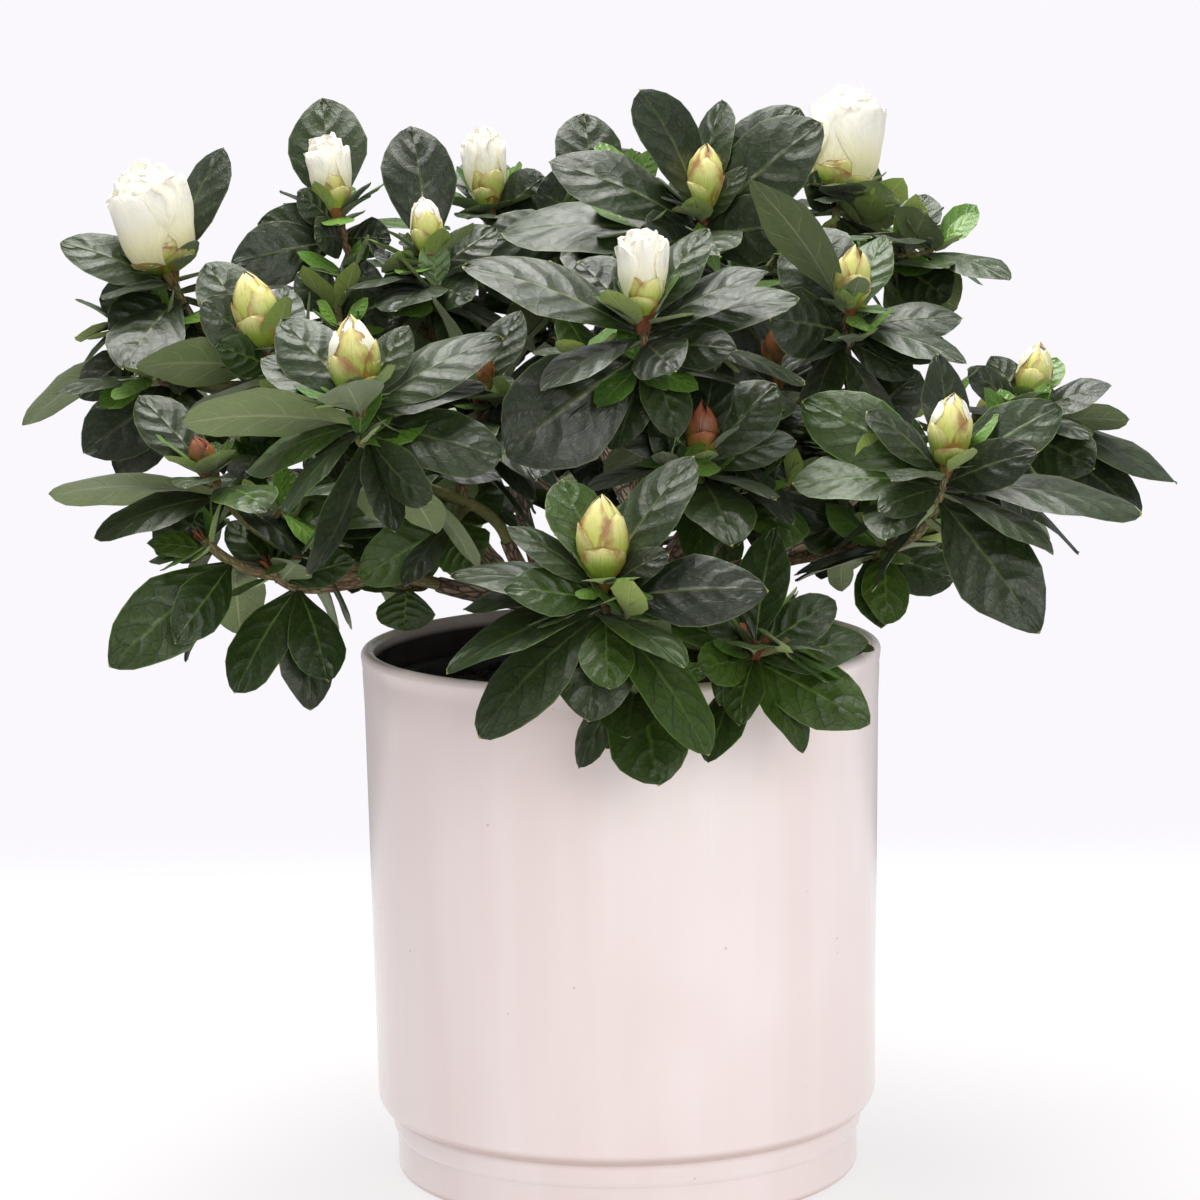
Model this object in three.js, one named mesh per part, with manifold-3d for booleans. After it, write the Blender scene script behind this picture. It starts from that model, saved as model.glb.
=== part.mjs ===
import * as THREE from "three";
import { mergeVertices } from "three/addons/utils/BufferGeometryUtils.js";
import Module from "manifold-3d";

const wasm = await Module();
wasm.setup();

// A potted azalea: glazed cover pot, grower's pot, potting mix, trunk, boughs and the masses of
// foliage they carry. Millimetres, +Z up, origin under the middle of the pot.

// ---------------------------------------------------------------- driving dimensions

const CLEARANCE = 0.3;             // between touching pieces
const ROUND = 36;                  // facets round a pot

const POT = {
  height: 138.4, rimRadius: 67.5, lip: 3.6, lipHeight: 5, shoulder: 66.8, base: 65.5,
  wall: 3.8, corner: 5, footRadius: 60.6, footHeight: 16, footEdge: 1.5, floor: 8,
};
const POT_GAP = 1.4;               // least distance from the pot or the mix to a blade's middle surface
const GROW_POT = { height: 129, rimRadius: 61.8, rimWidth: 2, rimHeight: 5, baseRadius: 50, wall: 1.3 };
const MIX = { height: 126, crumble: 1.2, levelRadius: 14 };

const TRUNK = { foot: [-2, 3, MIX.height + CLEARANCE], fork: [0, -2, 150], radii: [5, 4], flare: 3 };
const LIMB_SIDES = 5;
const LIMB_STEPS = 5;
const LIMB_GAP = 0.75;             // least distance from a limb's side to a blade's middle surface

const TWIG = { radii: [1.7, 1.35], sides: 3, steps: 5, clear: 2.3 };
const GOLDEN_ANGLE = 137.508;
const LEAF = {
  bend: 40,                        // how far the blade arches over from root to tip
  widest: 0.55,                    // where along the blade it is widest
  thickness: 0.9,
  length: 31, slim: 0.5,           // of the leaves that the rule adds: length, and width to length
  lowRise: -35, highRise: 55,      // from the lowest to the highest leaf of a whorl
  whorl: [1.5, 9],                 // the leaves' roots lie this far below the shoot's tip
  gap: 1.25, ownGap: 0.4,          // between middle surfaces of two sprays' blades, and of one's
  tries: 7, turnStep: 7, riseStep: 5, shrinkStep: 0.04,
};

// What ends a shoot: [height, radius] rings from its seat on the tip, and its number of sides.
const ENDS = {
  bloom: { sides: 8, rings: [[-2, 0], [0, 4], [8, 9], [18, 12.5], [26, 11.5], [29, 0]] },
  opening: { sides: 6, rings: [[-2, 0], [0, 4], [7, 6], [20, 4.6], [22, 0]] },
  bud: { sides: 6, rings: [[-2, 0], [0, 3.6], [6, 5.8], [12, 4.4], [17, 0]] },
  small: { sides: 5, rings: [[-2, 0], [0, 3.2], [6, 4.6], [14, 0]] },
  pink: { sides: 5, rings: [[-2, 0], [0, 3.4], [7, 4.6], [15, 0]] },
  brown: { sides: 5, rings: [[-2, 0], [0, 2.8], [5, 4.4], [14, 0]] },
  scales: { sides: 5, rings: [[-2, 0], [0, 2.6], [4, 3.2], [8, 0]] },
};

// The sprays of foliage. Places are [bearing, reach, height]: degrees round the pot from +X, and
// millimetres out from its middle and up. A bough runs from its parent, at a fraction along it,
// to its tip. A shoot is placed by the top of its whorl, leans outwards, and has leading leaves
// [bearing, rise, length, width, roll] and more that the rule adds round them.
const SPRAYS = {
  top: {
    bough: { from: "trunk", along: 1.0, to: [-50, 12, 196], radii: [3.4, 2.0] },
    shoots: [
      { at: [-34, 27, 251], lean: 0.08, end: "bud", more: 2, lead: [
        [-116, 74, 37, 23, 90], [129, 83, 32, 15, 85], [-34, 44, 41, 22, -90], [-2, 56, 41, 19, -70],
        [-160, 39, 43, 20, 50], [-60, 53, 20, 9, -90], [-173, 18, 52, 24, 35], [-107, 8, 20, 19, 65],
        [-56, 12, 28, 18, -80],
      ] },
    ],
  },
  front: {
    bough: { from: "trunk", along: 0.95, to: [-90, 60, 150], radii: [3.2, 2.0] },
    shoots: [
      { at: [-92, 108, 172], lean: 0.15, end: "bud", more: 0, lead: [
        [-99, -35, 29, 19, 5], [-36, -30, 43, 20, -10], [-150, -22, 43, 20, 20], [-163, -2, 41, 19, 20],
        [-22, 16, 39, 18, -55], [-138, 18, 26, 12, 70], [-175, 27, 37, 17, 25], [-8, 67, 38, 17, -55],
        [178, 79, 27, 16, 55], [-167, 51, 28, 13, 40], [-145, 45, 26, 12, 45], [-52, 45, 23, 10, -65],
        [22, 69, 27, 13, -40],
      ] },
      { at: [-86, 88, 144], lean: 0.9, end: "leafy", more: 2, lead: [
        [-78, -31, 31, 20, -5], [-54, -11, 21, 14, -45], [-84, -16, 20, 12, 10],
      ] },
    ],
  },
  low_left: {
    bough: { from: "trunk", along: 0.9, to: [-152, 52, 158], radii: [3.2, 2.0] },
    shoots: [
      { at: [-156, 111, 191], lean: 0.4, end: "pink", more: 3, lead: [
        [173, 17, 43, 20, -35], [-159, 2, 34, 16, 25], [-150, -21, 23, 17, 60], [178, 57, 30, 14, 60],
      ] },
      { at: [-154, 114, 174], lean: 0.8, end: "green", more: 1, lead: [
        [-137, -24, 41, 20, 50], [-108, -22, 29, 13, 40], [-166, 30, 20, 9, 45], [154, 75, 10, 7, 20],
        [-152, -36, 29, 13, 0],
      ] },
      { at: [-154, 97, 166], lean: 0.5, end: "green", more: 2, lead: [
        [-66, -50, 32, 15, 5], [-130, -33, 32, 15, 20], [-51, 39, 15, 11, 45], [-37, 23, 20, 10, -80],
        [180, 58, 19, 11, 60],
      ] },
      { at: [-164, 52, 159], lean: 0.5, end: "leafy", more: 0, lead: [
        [-96, -53, 12, 15, 5], [104, -9, 16, 14, -55], [178, 25, 23, 11, 50],
      ] },
    ],
  },
  right: {
    bough: { from: "trunk", along: 0.9, to: [-28, 42, 160], radii: [3.0, 2.0] },
    shoots: [
      { at: [-45, 111, 194], lean: 0.15, end: "bud", more: 0, lead: [
        [-53, -32, 42, 21, -35], [-10, 11, 49, 23, -20], [-15, 40, 34, 16, -70], [-56, 26, 28, 13, -75],
        [24, 83, 29, 14, -90], [-172, 48, 30, 14, 45], [-175, 39, 40, 18, 65], [-164, 19, 37, 17, 35],
        [-124, 10, 24, 11, 30], [1, -10, 13, 12, -70],
      ] },
      { at: [-24, 69, 171], lean: 0.7, end: "leafy", more: 0, lead: [
        [-29, -5, 29, 15, -60], [5, 38, 21, 17, -65], [97, -30, 16, 7, 20], [-141, 34, 18, 16, 90],
        [3, 12, 27, 13, -65],
      ] },
    ],
  },
  back_left: {
    bough: { from: "trunk", along: 0.85, to: [148, 50, 160], radii: [3.0, 2.0] },
    shoots: [
      { at: [152, 112, 188], lean: 0.45, end: "bud", more: 9, lead: [] },
      { at: [138, 96, 176], lean: 0.65, end: "leafy", more: 7, lead: [] },
      { at: [150, 90, 222], lean: 0.3, end: "leafy", more: 8, lead: [] },
      { at: [118, 94, 176], lean: 0.6, end: "leafy", more: 7, lead: [] },
    ],
  },
  back_mid_right: {
    bough: { from: "trunk", along: 0.8, to: [62, 46, 168], radii: [3.0, 2.0] },
    shoots: [
      { at: [64, 106, 206], lean: 0.3, end: "bud", more: 9, lead: [] },
      { at: [76, 90, 176], lean: 0.6, end: "leafy", more: 8, lead: [] },
      { at: [48, 76, 190], lean: 0.3, end: "leafy", more: 6, lead: [] },
    ],
  },
  centre: {
    bough: { from: "front", along: 0.35, to: [-72, 38, 178], radii: [2.4, 1.8] },
    shoots: [
      { at: [-85, 75, 230], lean: 0.08, end: "opening", more: 1, lead: [
        [-163, 37, 47, 22, 45], [-139, -20, 44, 27, 50], [-21, 41, 34, 16, -45], [-51, 7, 26, 12, -65],
        [-83, 6, 24, 15, -30], [176, 56, 26, 16, 65], [-4, 66, 29, 13, -60], [-12, 29, 39, 18, -40],
        [64, 82, 21, 15, -40],
      ] },
      { at: [-74, 73, 196], lean: 0.08, end: "brown", more: 3, lead: [
        [-157, 39, 29, 13, 80], [-26, 88, 28, 13, -90], [-26, 33, 27, 12, -55], [-157, 64, 23, 14, 90],
        [-117, 21, 20, 13, 85], [-5, 53, 28, 16, -70],
      ] },
      { at: [-38, 51, 212], lean: 0.08, end: "brown", more: 5, lead: [
        [-173, 44, 24, 16, 75], [1, 32, 24, 15, -70], [-77, -4, 16, 16, -20],
      ] },
      { at: [-59, 58, 187], lean: 0.3, end: "leafy", more: 3, lead: [
        [-45, 17, 21, 17, -75], [-72, -25, 23, 13, -20], [-17, -12, 34, 18, -65], [-107, -13, 17, 12, 15],
      ] },
    ],
  },
  low_right: {
    bough: { from: "front", along: 0.5, to: [-66, 58, 150], radii: [2.2, 1.8] },
    shoots: [
      { at: [-69, 90, 152], lean: 0.4, end: "scales", more: 2, lead: [
        [-40, -13, 34, 17, -50], [-27, 16, 29, 13, -70], [-108, 12, 23, 12, 60], [-13, 45, 25, 12, -75],
        [-169, 38, 30, 14, 40], [-114, -15, 17, 12, 25], [-20, 86, 30, 14, -90], [178, 52, 19, 11, 65],
      ] },
    ],
  },
  front_left: {
    bough: { from: "low_left", along: 0.35, to: [-132, 42, 170], radii: [2.5, 1.8] },
    shoots: [
      { at: [-127, 102, 212], lean: 0.12, end: "bud", more: 1, lead: [
        [171, 16, 44, 20, -45], [-163, 11, 41, 19, 25], [-174, 47, 30, 14, 45], [175, 57, 31, 17, 60],
        [2, 59, 27, 12, -70], [-11, 43, 39, 18, -45], [-22, 35, 34, 15, -35], [-31, 2, 36, 17, -45],
        [-74, -29, 29, 13, -80], [-96, -63, 38, 18, 80], [-99, 40, 30, 16, -15],
      ] },
      { at: [-132, 51, 208], lean: 0.1, end: "brown", more: 5, lead: [
        [105, 75, 29, 15, -90], [4, 75, 26, 12, -55], [-46, 12, 19, 15, -70],
      ] },
      { at: [-148, 56, 175], lean: 0.6, end: "leafy", more: 2, lead: [
        [-67, -29, 14, 15, -30], [-155, -15, 29, 15, 60], [-179, 22, 36, 17, 35], [1, 43, 21, 15, -70],
        [172, 25, 50, 23, 25],
      ] },
    ],
  },
  left: {
    bough: { from: "low_left", along: 0.45, to: [-168, 48, 188], radii: [2.4, 1.8] },
    shoots: [
      { at: [-166, 91, 219], lean: 0.25, end: "bud", more: 3, lead: [
        [-150, 38, 29, 17, 85], [-174, 64, 30, 18, 70], [-121, 22, 19, 11, 90], [179, 17, 36, 17, -50],
        [70, 69, 22, 14, -10],
      ] },
      { at: [174, 73, 228], lean: 0.2, end: "leafy", more: 4, lead: [
        [-18, 59, 16, 13, -90], [-128, 56, 16, 13, 90], [-53, 19, 16, 15, -85],
      ] },
    ],
  },
  far_left: {
    bough: { from: "low_left", along: 0.6, to: [176, 74, 190], radii: [2.4, 1.8] },
    shoots: [
      { at: [171, 118, 236], lean: 0.25, end: "bloom", more: 4, lead: [
        [-166, 35, 33, 15, 55], [-30, 79, 37, 17, -75], [-124, -10, 24, 18, 50], [-177, 4, 23, 14, 70],
      ] },
      { at: [169, 133, 222], lean: 0.7, end: "leafy", more: 2, lead: [
        [172, -15, 39, 18, -30], [-131, -20, 23, 12, 50], [-51, -1, 11, 9, -55],
      ] },
      { at: [172, 122, 212], lean: 0.7, end: "leafy", more: 2, lead: [
        [-143, -23, 33, 19, 55], [-86, -31, 19, 12, -10], [-138, -40, 31, 15, 50], [-119, 5, 12, 11, 65],
      ] },
    ],
  },
  upper_left: {
    bough: { from: "top", along: 0.35, to: [166, 36, 204], radii: [2.5, 1.8] },
    shoots: [
      { at: [161, 77, 250], lean: 0.15, end: "opening", more: 3, lead: [
        [174, 80, 34, 21, 90], [-125, 42, 16, 10, 90], [-157, 15, 23, 13, 75], [-141, -1, 32, 17, 65],
        [-97, 10, 15, 12, 70], [-41, 6, 14, 11, -70],
      ] },
      { at: [173, 48, 239], lean: 0.1, end: "small", more: 4, lead: [
        [-176, 87, 38, 19, 80], [1, 41, 22, 12, -70], [-125, 1, 16, 14, 60], [-77, 7, 23, 14, -50],
      ] },
    ],
  },
  upper_back: {
    bough: { from: "top", along: 0.55, to: [108, 28, 208], radii: [2.3, 1.8] },
    shoots: [
      { at: [124, 60, 249], lean: 0.15, end: "opening", more: 5, lead: [
        [101, 67, 22, 17, 0], [-46, 52, 13, 11, 35], [-52, 42, 21, 15, -90],
      ] },
      { at: [98, 42, 250], lean: 0.05, end: "leafy", more: 4, lead: [
        [64, 87, 28, 18, -40], [-118, 31, 21, 20, 90], [-138, 5, 33, 16, 70], [23, 58, 25, 16, -50],
      ] },
    ],
  },
  upper_right: {
    bough: { from: "right", along: 0.3, to: [-37, 40, 184], radii: [2.4, 1.8] },
    shoots: [
      { at: [-38, 73, 229], lean: 0.12, end: "bud", more: 2, lead: [
        [157, 70, 42, 19, -55], [176, 73, 35, 21, 65], [-8, 19, 30, 14, -45], [-23, 10, 30, 14, -40],
        [-39, -12, 22, 10, -55], [-122, 15, 25, 18, 80], [35, 65, 26, 12, -40], [-179, 53, 18, 11, 75],
      ] },
      { at: [-36, 68, 195], lean: 0.3, end: "leafy", more: 3, lead: [
        [-20, 47, 30, 18, -80], [-24, -13, 25, 13, -65], [-118, -19, 17, 13, 30],
      ] },
    ],
  },
  far_right: {
    bough: { from: "right", along: 0.35, to: [4, 62, 176], radii: [2.4, 1.8] },
    shoots: [
      { at: [6, 108, 199], lean: 0.2, end: "bud", more: 4, lead: [
        [-15, 28, 29, 13, -40], [22, 8, 33, 15, 40], [-7, -1, 45, 20, -15], [-22, -12, 42, 19, -30],
        [-43, -18, 30, 17, -55], [-136, 45, 21, 10, 80], [172, 64, 18, 10, 65],
      ] },
    ],
  },
  back_right: {
    bough: { from: "back_mid_right", along: 0.45, to: [38, 56, 206], radii: [2.4, 1.8] },
    shoots: [
      { at: [52, 101, 251], lean: 0.2, end: "bloom", more: 5, lead: [
        [3, 57, 16, 13, -65], [-10, 13, 20, 15, 80], [-121, 37, 14, 13, 90],
      ] },
      { at: [29, 92, 240], lean: 0.4, end: "leafy", more: 4, lead: [
        [-49, 54, 16, 16, 60], [17, -28, 21, 20, 70], [-61, -12, 21, 17, -45], [63, 67, 18, 13, -10],
      ] },
    ],
  },
  low_back_right: {
    bough: { from: "back_mid_right", along: 0.3, to: [26, 58, 160], radii: [2.3, 1.8] },
    shoots: [
      { at: [20, 104, 184], lean: 0.45, end: "bud", more: 8, lead: [] },
      { at: [42, 92, 176], lean: 0.6, end: "leafy", more: 7, lead: [] },
      { at: [58, 98, 178], lean: 0.6, end: "leafy", more: 6, lead: [] },
    ],
  },
  back: {
    bough: { from: "back_mid_right", along: 0.35, to: [92, 56, 164], radii: [2.4, 1.8] },
    shoots: [
      { at: [94, 114, 186], lean: 0.4, end: "bud", more: 9, lead: [] },
      { at: [86, 92, 152], lean: 0.9, end: "leafy", more: 7, lead: [] },
      { at: [100, 82, 220], lean: 0.2, end: "bud", more: 9, lead: [] },
    ],
  },
  back_mid_left: {
    bough: { from: "back_left", along: 0.4, to: [122, 56, 188], radii: [2.4, 1.8] },
    shoots: [
      { at: [122, 108, 210], lean: 0.3, end: "bud", more: 9, lead: [] },
      { at: [128, 76, 236], lean: 0.15, end: "leafy", more: 8, lead: [] },
    ],
  },
  back_top: {
    bough: { from: "top", along: 0.75, to: [62, 26, 214], radii: [2.0, 1.7] },
    shoots: [
      { at: [66, 52, 244], lean: 0.15, end: "opening", more: 9, lead: [] },
      { at: [78, 72, 228], lean: 0.3, end: "leafy", more: 7, lead: [] },
      { at: [20, 46, 240], lean: 0.2, end: "leafy", more: 7, lead: [] },
    ],
  },
};

const COLOURS = {
  glaze: 0xf0e4df, black: 0x17171a, mix: 0x2b1c16, bark: 0x9a8266, leaf: 0x46564a, leafLow: 0x4a6a35,
};

// ---------------------------------------------------------------- small helpers

const UP = new THREE.Vector3(0, 0, 1);
const radians = THREE.MathUtils.degToRad;
const vec = (x, y, z) => new THREE.Vector3(x, y, z);
const lerp = THREE.MathUtils.lerp;

// A repeatable number from 0 to 1 for each pair of whole numbers.
function noise(a, b) {
  const v = Math.sin(a * 12.9898 + b * 78.233) * 43758.5453;
  return v - Math.floor(v);
}

function outward(bearing) {
  return vec(Math.cos(radians(bearing)), Math.sin(radians(bearing)), 0);
}

function place([bearing, reach, height]) {
  return outward(bearing).multiplyScalar(reach).setZ(height);
}

function finish(name, geometry, color, roughness, metalness = 0) {
  const mesh = new THREE.Mesh(geometry, new THREE.MeshStandardMaterial({ color, roughness, metalness }));
  mesh.name = name;
  return mesh;
}

// ---------------------------------------------------------------- solids

function toSolid(geometry) {
  geometry.deleteAttribute("normal");
  geometry.deleteAttribute("uv");
  const merged = mergeVertices(geometry);
  const mesh = new wasm.Mesh({
    numProp: 3,
    vertProperties: new Float32Array(merged.attributes.position.array),
    triVerts: new Uint32Array(merged.index.array),
  });
  return new wasm.Manifold(mesh);
}

function toGeometry(solid) {
  const mesh = solid.getMesh();
  const geometry = new THREE.BufferGeometry();
  geometry.setAttribute("position", new THREE.BufferAttribute(mesh.vertProperties, 3));
  geometry.setIndex(new THREE.BufferAttribute(mesh.triVerts, 1));
  return geometry;
}

// The largest shell of a solid: sealed hollows are filled and loose scraps dropped.
function largest(solid) {
  return solid.decompose().reduce((best, part) => (part.volume() > best.volume() ? part : best));
}

// A closed body turned round Z from a Path whose ends lie on the axis.
function turned(path, sides = ROUND) {
  const geometry = new THREE.LatheGeometry(path.getPoints(2), sides);
  geometry.rotateX(Math.PI / 2);
  return geometry;
}

// A tube along a curve: a cylinder whose rings are carried to the curve's frames and scaled by a
// radius that may change along it. It may run a little past both ends.
function tube(curve, radiusAt, sides, steps, past = 0) {
  const geometry = new THREE.CylinderGeometry(1, 1, 1, sides, steps);
  const frames = curve.computeFrenetFrames(steps);
  const position = geometry.attributes.position;
  for (let i = 0; i < position.count; i++) {
    const step = Math.round((position.getY(i) + 0.5) * steps);
    const t = step / steps;
    const beyond = past * ((step === steps) - (step === 0));
    const point = curve.getPoint(t)
      .addScaledVector(frames.tangents[step], beyond)
      .addScaledVector(frames.normals[step], position.getX(i) * radiusAt(t))
      .addScaledVector(frames.binormals[step], -position.getZ(i) * radiusAt(t));
    position.setXYZ(i, point.x, point.y, point.z);
  }
  return toSolid(geometry);
}

// ---------------------------------------------------------------- pot and what fills it

function potGeometry() {
  const p = POT;
  const path = new THREE.Path();
  path.moveTo(0, 0);
  path.lineTo(p.footRadius - p.footEdge, 0);
  path.absarc(p.footRadius - p.footEdge, p.footEdge, p.footEdge, -Math.PI / 2, 0);
  path.lineTo(p.footRadius, p.footHeight);
  path.absarc(p.base - p.corner, p.footHeight + p.corner, p.corner, -Math.PI / 2, 0);
  path.lineTo(p.shoulder, p.height - 3 * p.lipHeight);
  path.lineTo(p.rimRadius, p.height - p.lipHeight);
  path.absarc(p.rimRadius - p.lip / 2, p.height - p.lip / 2, p.lip / 2, 0, Math.PI);
  path.lineTo(p.base - p.wall, p.floor + p.corner);
  path.absarc(p.base - p.wall - p.corner, p.floor + p.corner, p.corner, 0, -Math.PI / 2, true);
  path.lineTo(0, p.floor);
  return turned(path);
}

// Radius of the grower's pot's outside at a height.
function growRadius(z) {
  return lerp(GROW_POT.baseRadius, GROW_POT.rimRadius - GROW_POT.rimWidth, (z - POT.floor) / GROW_POT.height);
}

function growPotGeometry() {
  const g = GROW_POT;
  const bottom = POT.floor + CLEARANCE;
  const path = new THREE.Path();
  path.moveTo(0, bottom);
  path.lineTo(growRadius(bottom), bottom);
  path.lineTo(growRadius(g.height - g.rimHeight), g.height - g.rimHeight);
  path.lineTo(g.rimRadius, g.height - g.rimHeight);
  path.lineTo(g.rimRadius, g.height);
  path.lineTo(growRadius(g.height) - g.wall, g.height);
  path.lineTo(growRadius(bottom + g.wall) - g.wall, bottom + g.wall);
  path.lineTo(0, bottom + g.wall);
  return turned(path);
}

function mixGeometry() {
  const bottom = POT.floor + GROW_POT.wall + 2 * CLEARANCE;
  const inset = GROW_POT.wall + CLEARANCE;
  const top = MIX.height - MIX.crumble;
  const path = new THREE.Path();
  path.moveTo(0, bottom);
  path.lineTo(growRadius(bottom) - inset, bottom);
  path.lineTo(growRadius(top) - inset, top);
  path.lineTo(MIX.levelRadius, MIX.height);
  path.lineTo(0, MIX.height);
  return turned(path);
}

// ---------------------------------------------------------------- trunk and boughs

const trunkCurve = new THREE.QuadraticBezierCurve3(
  vec(...TRUNK.foot),
  vec(...TRUNK.foot).setZ(lerp(TRUNK.foot[2], TRUNK.fork[2], 0.5)),
  vec(...TRUNK.fork),
);
const trunkRadius = (t) => lerp(TRUNK.radii[0], TRUNK.radii[1], t) + TRUNK.flare * (1 - t) ** 4;

// Each limb: its curve, and its radius at a fraction along it. A bough leaves its parent outwards
// and turns up to its tip.
const limbs = { trunk: { curve: trunkCurve, radius: trunkRadius } };
for (const [name, { bough }] of Object.entries(SPRAYS)) {
  const start = limbs[bough.from].curve.getPoint(bough.along);
  const tip = place(bough.to);
  const reach = tip.clone().sub(start);
  const control = start.clone().add(vec(reach.x * 0.6, reach.y * 0.6, reach.z * 0.35));
  const [thick, thin] = bough.radii;
  limbs[name] = {
    curve: new THREE.QuadraticBezierCurve3(start, control, tip),
    radius: (t) => lerp(thick, thin, t),
  };
}

// Limbs as solids, each cut clear of those before it.
function limbSolids() {
  const solids = {};
  const swollen = [];
  const swell = CLEARANCE / Math.cos(Math.PI / LIMB_SIDES);
  for (const [name, { curve, radius }] of Object.entries(limbs)) {
    const whole = tube(curve, radius, LIMB_SIDES, LIMB_STEPS);
    solids[name] = largest(swollen.reduce((solid, other) => solid.subtract(other), whole));
    swollen.push(tube(curve, (t) => radius(t) + swell, LIMB_SIDES, LIMB_STEPS, swell));
  }
  return solids;
}

// ---------------------------------------------------------------- shoots and their twigs

// Twigs branch from the spray's stem, which carries on from the bough's tip to the first shoot.
function growTwigs() {
  const shoots = [];
  for (const [spray, { shoots: rows }] of Object.entries(SPRAYS)) {
    let stem = null;
    for (const row of rows) {
      const number = shoots.length;
      const tip = place(row.at);
      const axis = outward(row.at[0]).multiplyScalar(row.lean).add(UP).normalize();
      const fork = stem ? 0.12 + 0.25 * noise(number, 5) : 1;
      const source = stem ?? limbs[spray].curve;
      const direction = source.getTangent(fork);
      const start = source.getPoint(fork).addScaledVector(direction, stem ? 0 : CLEARANCE);
      const span = tip.distanceTo(start);
      const twig = new THREE.CubicBezierCurve3(
        start,
        start.clone().addScaledVector(direction, span * (stem ? 0.2 : 0.3)),
        tip.clone().addScaledVector(axis, -0.4 * span),
        tip,
      );
      stem ??= twig;
      shoots.push({ ...row, spray, number, tip, axis, twig, span });
    }
  }
  return shoots;
}

// ---------------------------------------------------------------- leaves

// A leaf's frame and key points: its middle line is an arc that starts along the head direction
// and bends away from the upper side.
function makeLeaf(root, bearing, rise, length, width, roll) {
  const flat = outward(bearing);
  const up = radians(rise);
  const bend = radians(LEAF.bend);
  const head = flat.clone().multiplyScalar(Math.cos(up)).addScaledVector(UP, Math.sin(up));
  const upper = UP.clone().multiplyScalar(Math.cos(up)).addScaledVector(flat, -Math.sin(up));
  upper.applyAxisAngle(head, -radians(roll));
  const side = upper.clone().cross(head);
  const along = (u) => root.clone()
    .addScaledVector(head, length * Math.sin(bend * u) / bend)
    .addScaledVector(upper, -length * (1 - Math.cos(bend * u)) / bend);
  const middle = along(LEAF.widest);
  const base = along(0.12);
  const tip = along(1);
  const left = middle.clone().addScaledVector(side, width / 2);
  const right = middle.clone().addScaledVector(side, -width / 2);
  return {
    root, middle, base, tip, left, right, side, upper,
    centre: base.clone().lerp(tip, 0.5),
    size: 0.56 * Math.max(length, width),
    faces: [[base, left, middle], [left, tip, middle], [tip, right, middle], [right, base, middle]].map(face),
    edges: [[base, left], [left, tip], [tip, right], [right, base],
      [base, middle], [middle, tip], [left, middle], [middle, right]],
  };
}

// A triangle with its normal and, for each side, the direction that points into it.
function face(corners) {
  const [a, b, c] = corners;
  const normal = b.clone().sub(a).cross(c.clone().sub(a)).normalize();
  const inward = corners.map((p, i) => normal.clone().cross(corners[(i + 1) % 3].clone().sub(p)).normalize());
  return { corners, normal, inward };
}

// Whether a segment comes within a gap of a triangle's face.
function segmentNear([p, q], { corners, normal, inward }, gap) {
  const high = normal.dot(p) - normal.dot(corners[0]);
  const low = normal.dot(q) - normal.dot(corners[0]);
  if (Math.min(high, low) > gap || Math.max(high, low) < -gap) return false;
  const run = Math.abs(low - high) < 1e-9 ? 1e-9 : low - high;
  const from = THREE.MathUtils.clamp((gap - high) / run, 0, 1);
  const to = THREE.MathUtils.clamp((-gap - high) / run, 0, 1);
  return [from, (from + to) / 2, to].some((t) => {
    const x = p.clone().lerp(q, t);
    return corners.every((corner, i) => inward[i].dot(x) - inward[i].dot(corner) > -gap);
  });
}

const near = (segments, faces, gap) => faces.some((f) => segments.some((s) => segmentNear(s, f, gap)));

function leavesMeet(a, b) {
  if (a.centre.distanceTo(b.centre) > a.size + b.size) return false;
  const gap = a.shoot.spray === b.shoot.spray ? LEAF.ownGap : LEAF.gap;
  return near(a.edges, b.faces, gap) || near(b.edges, a.faces, gap);
}

// Whether a leaf would touch the cover pot or dip into the mix.
function leafMeetsPot(leaf) {
  return leaf.edges.some(([from, to]) => [0, 0.25, 0.5, 0.75, 1].some((t) => {
    const p = from.clone().lerp(to, t);
    const reach = Math.hypot(p.x, p.y);
    const outside = POT.rimRadius + POT_GAP;
    const overWall = reach > POT.rimRadius - POT.lip - POT_GAP && reach < outside;
    return (p.z < MIX.height + POT_GAP && reach < outside) || (p.z < POT.height + POT_GAP && overWall);
  }));
}

// The segments of a curve that leaves have to keep clear of.
function segmentsOf(curve, steps) {
  const points = Array.from({ length: steps + 1 }, (_, i) => curve.getPoint(i / steps));
  return points.slice(1).map((point, i) => [points[i], point]);
}

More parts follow.
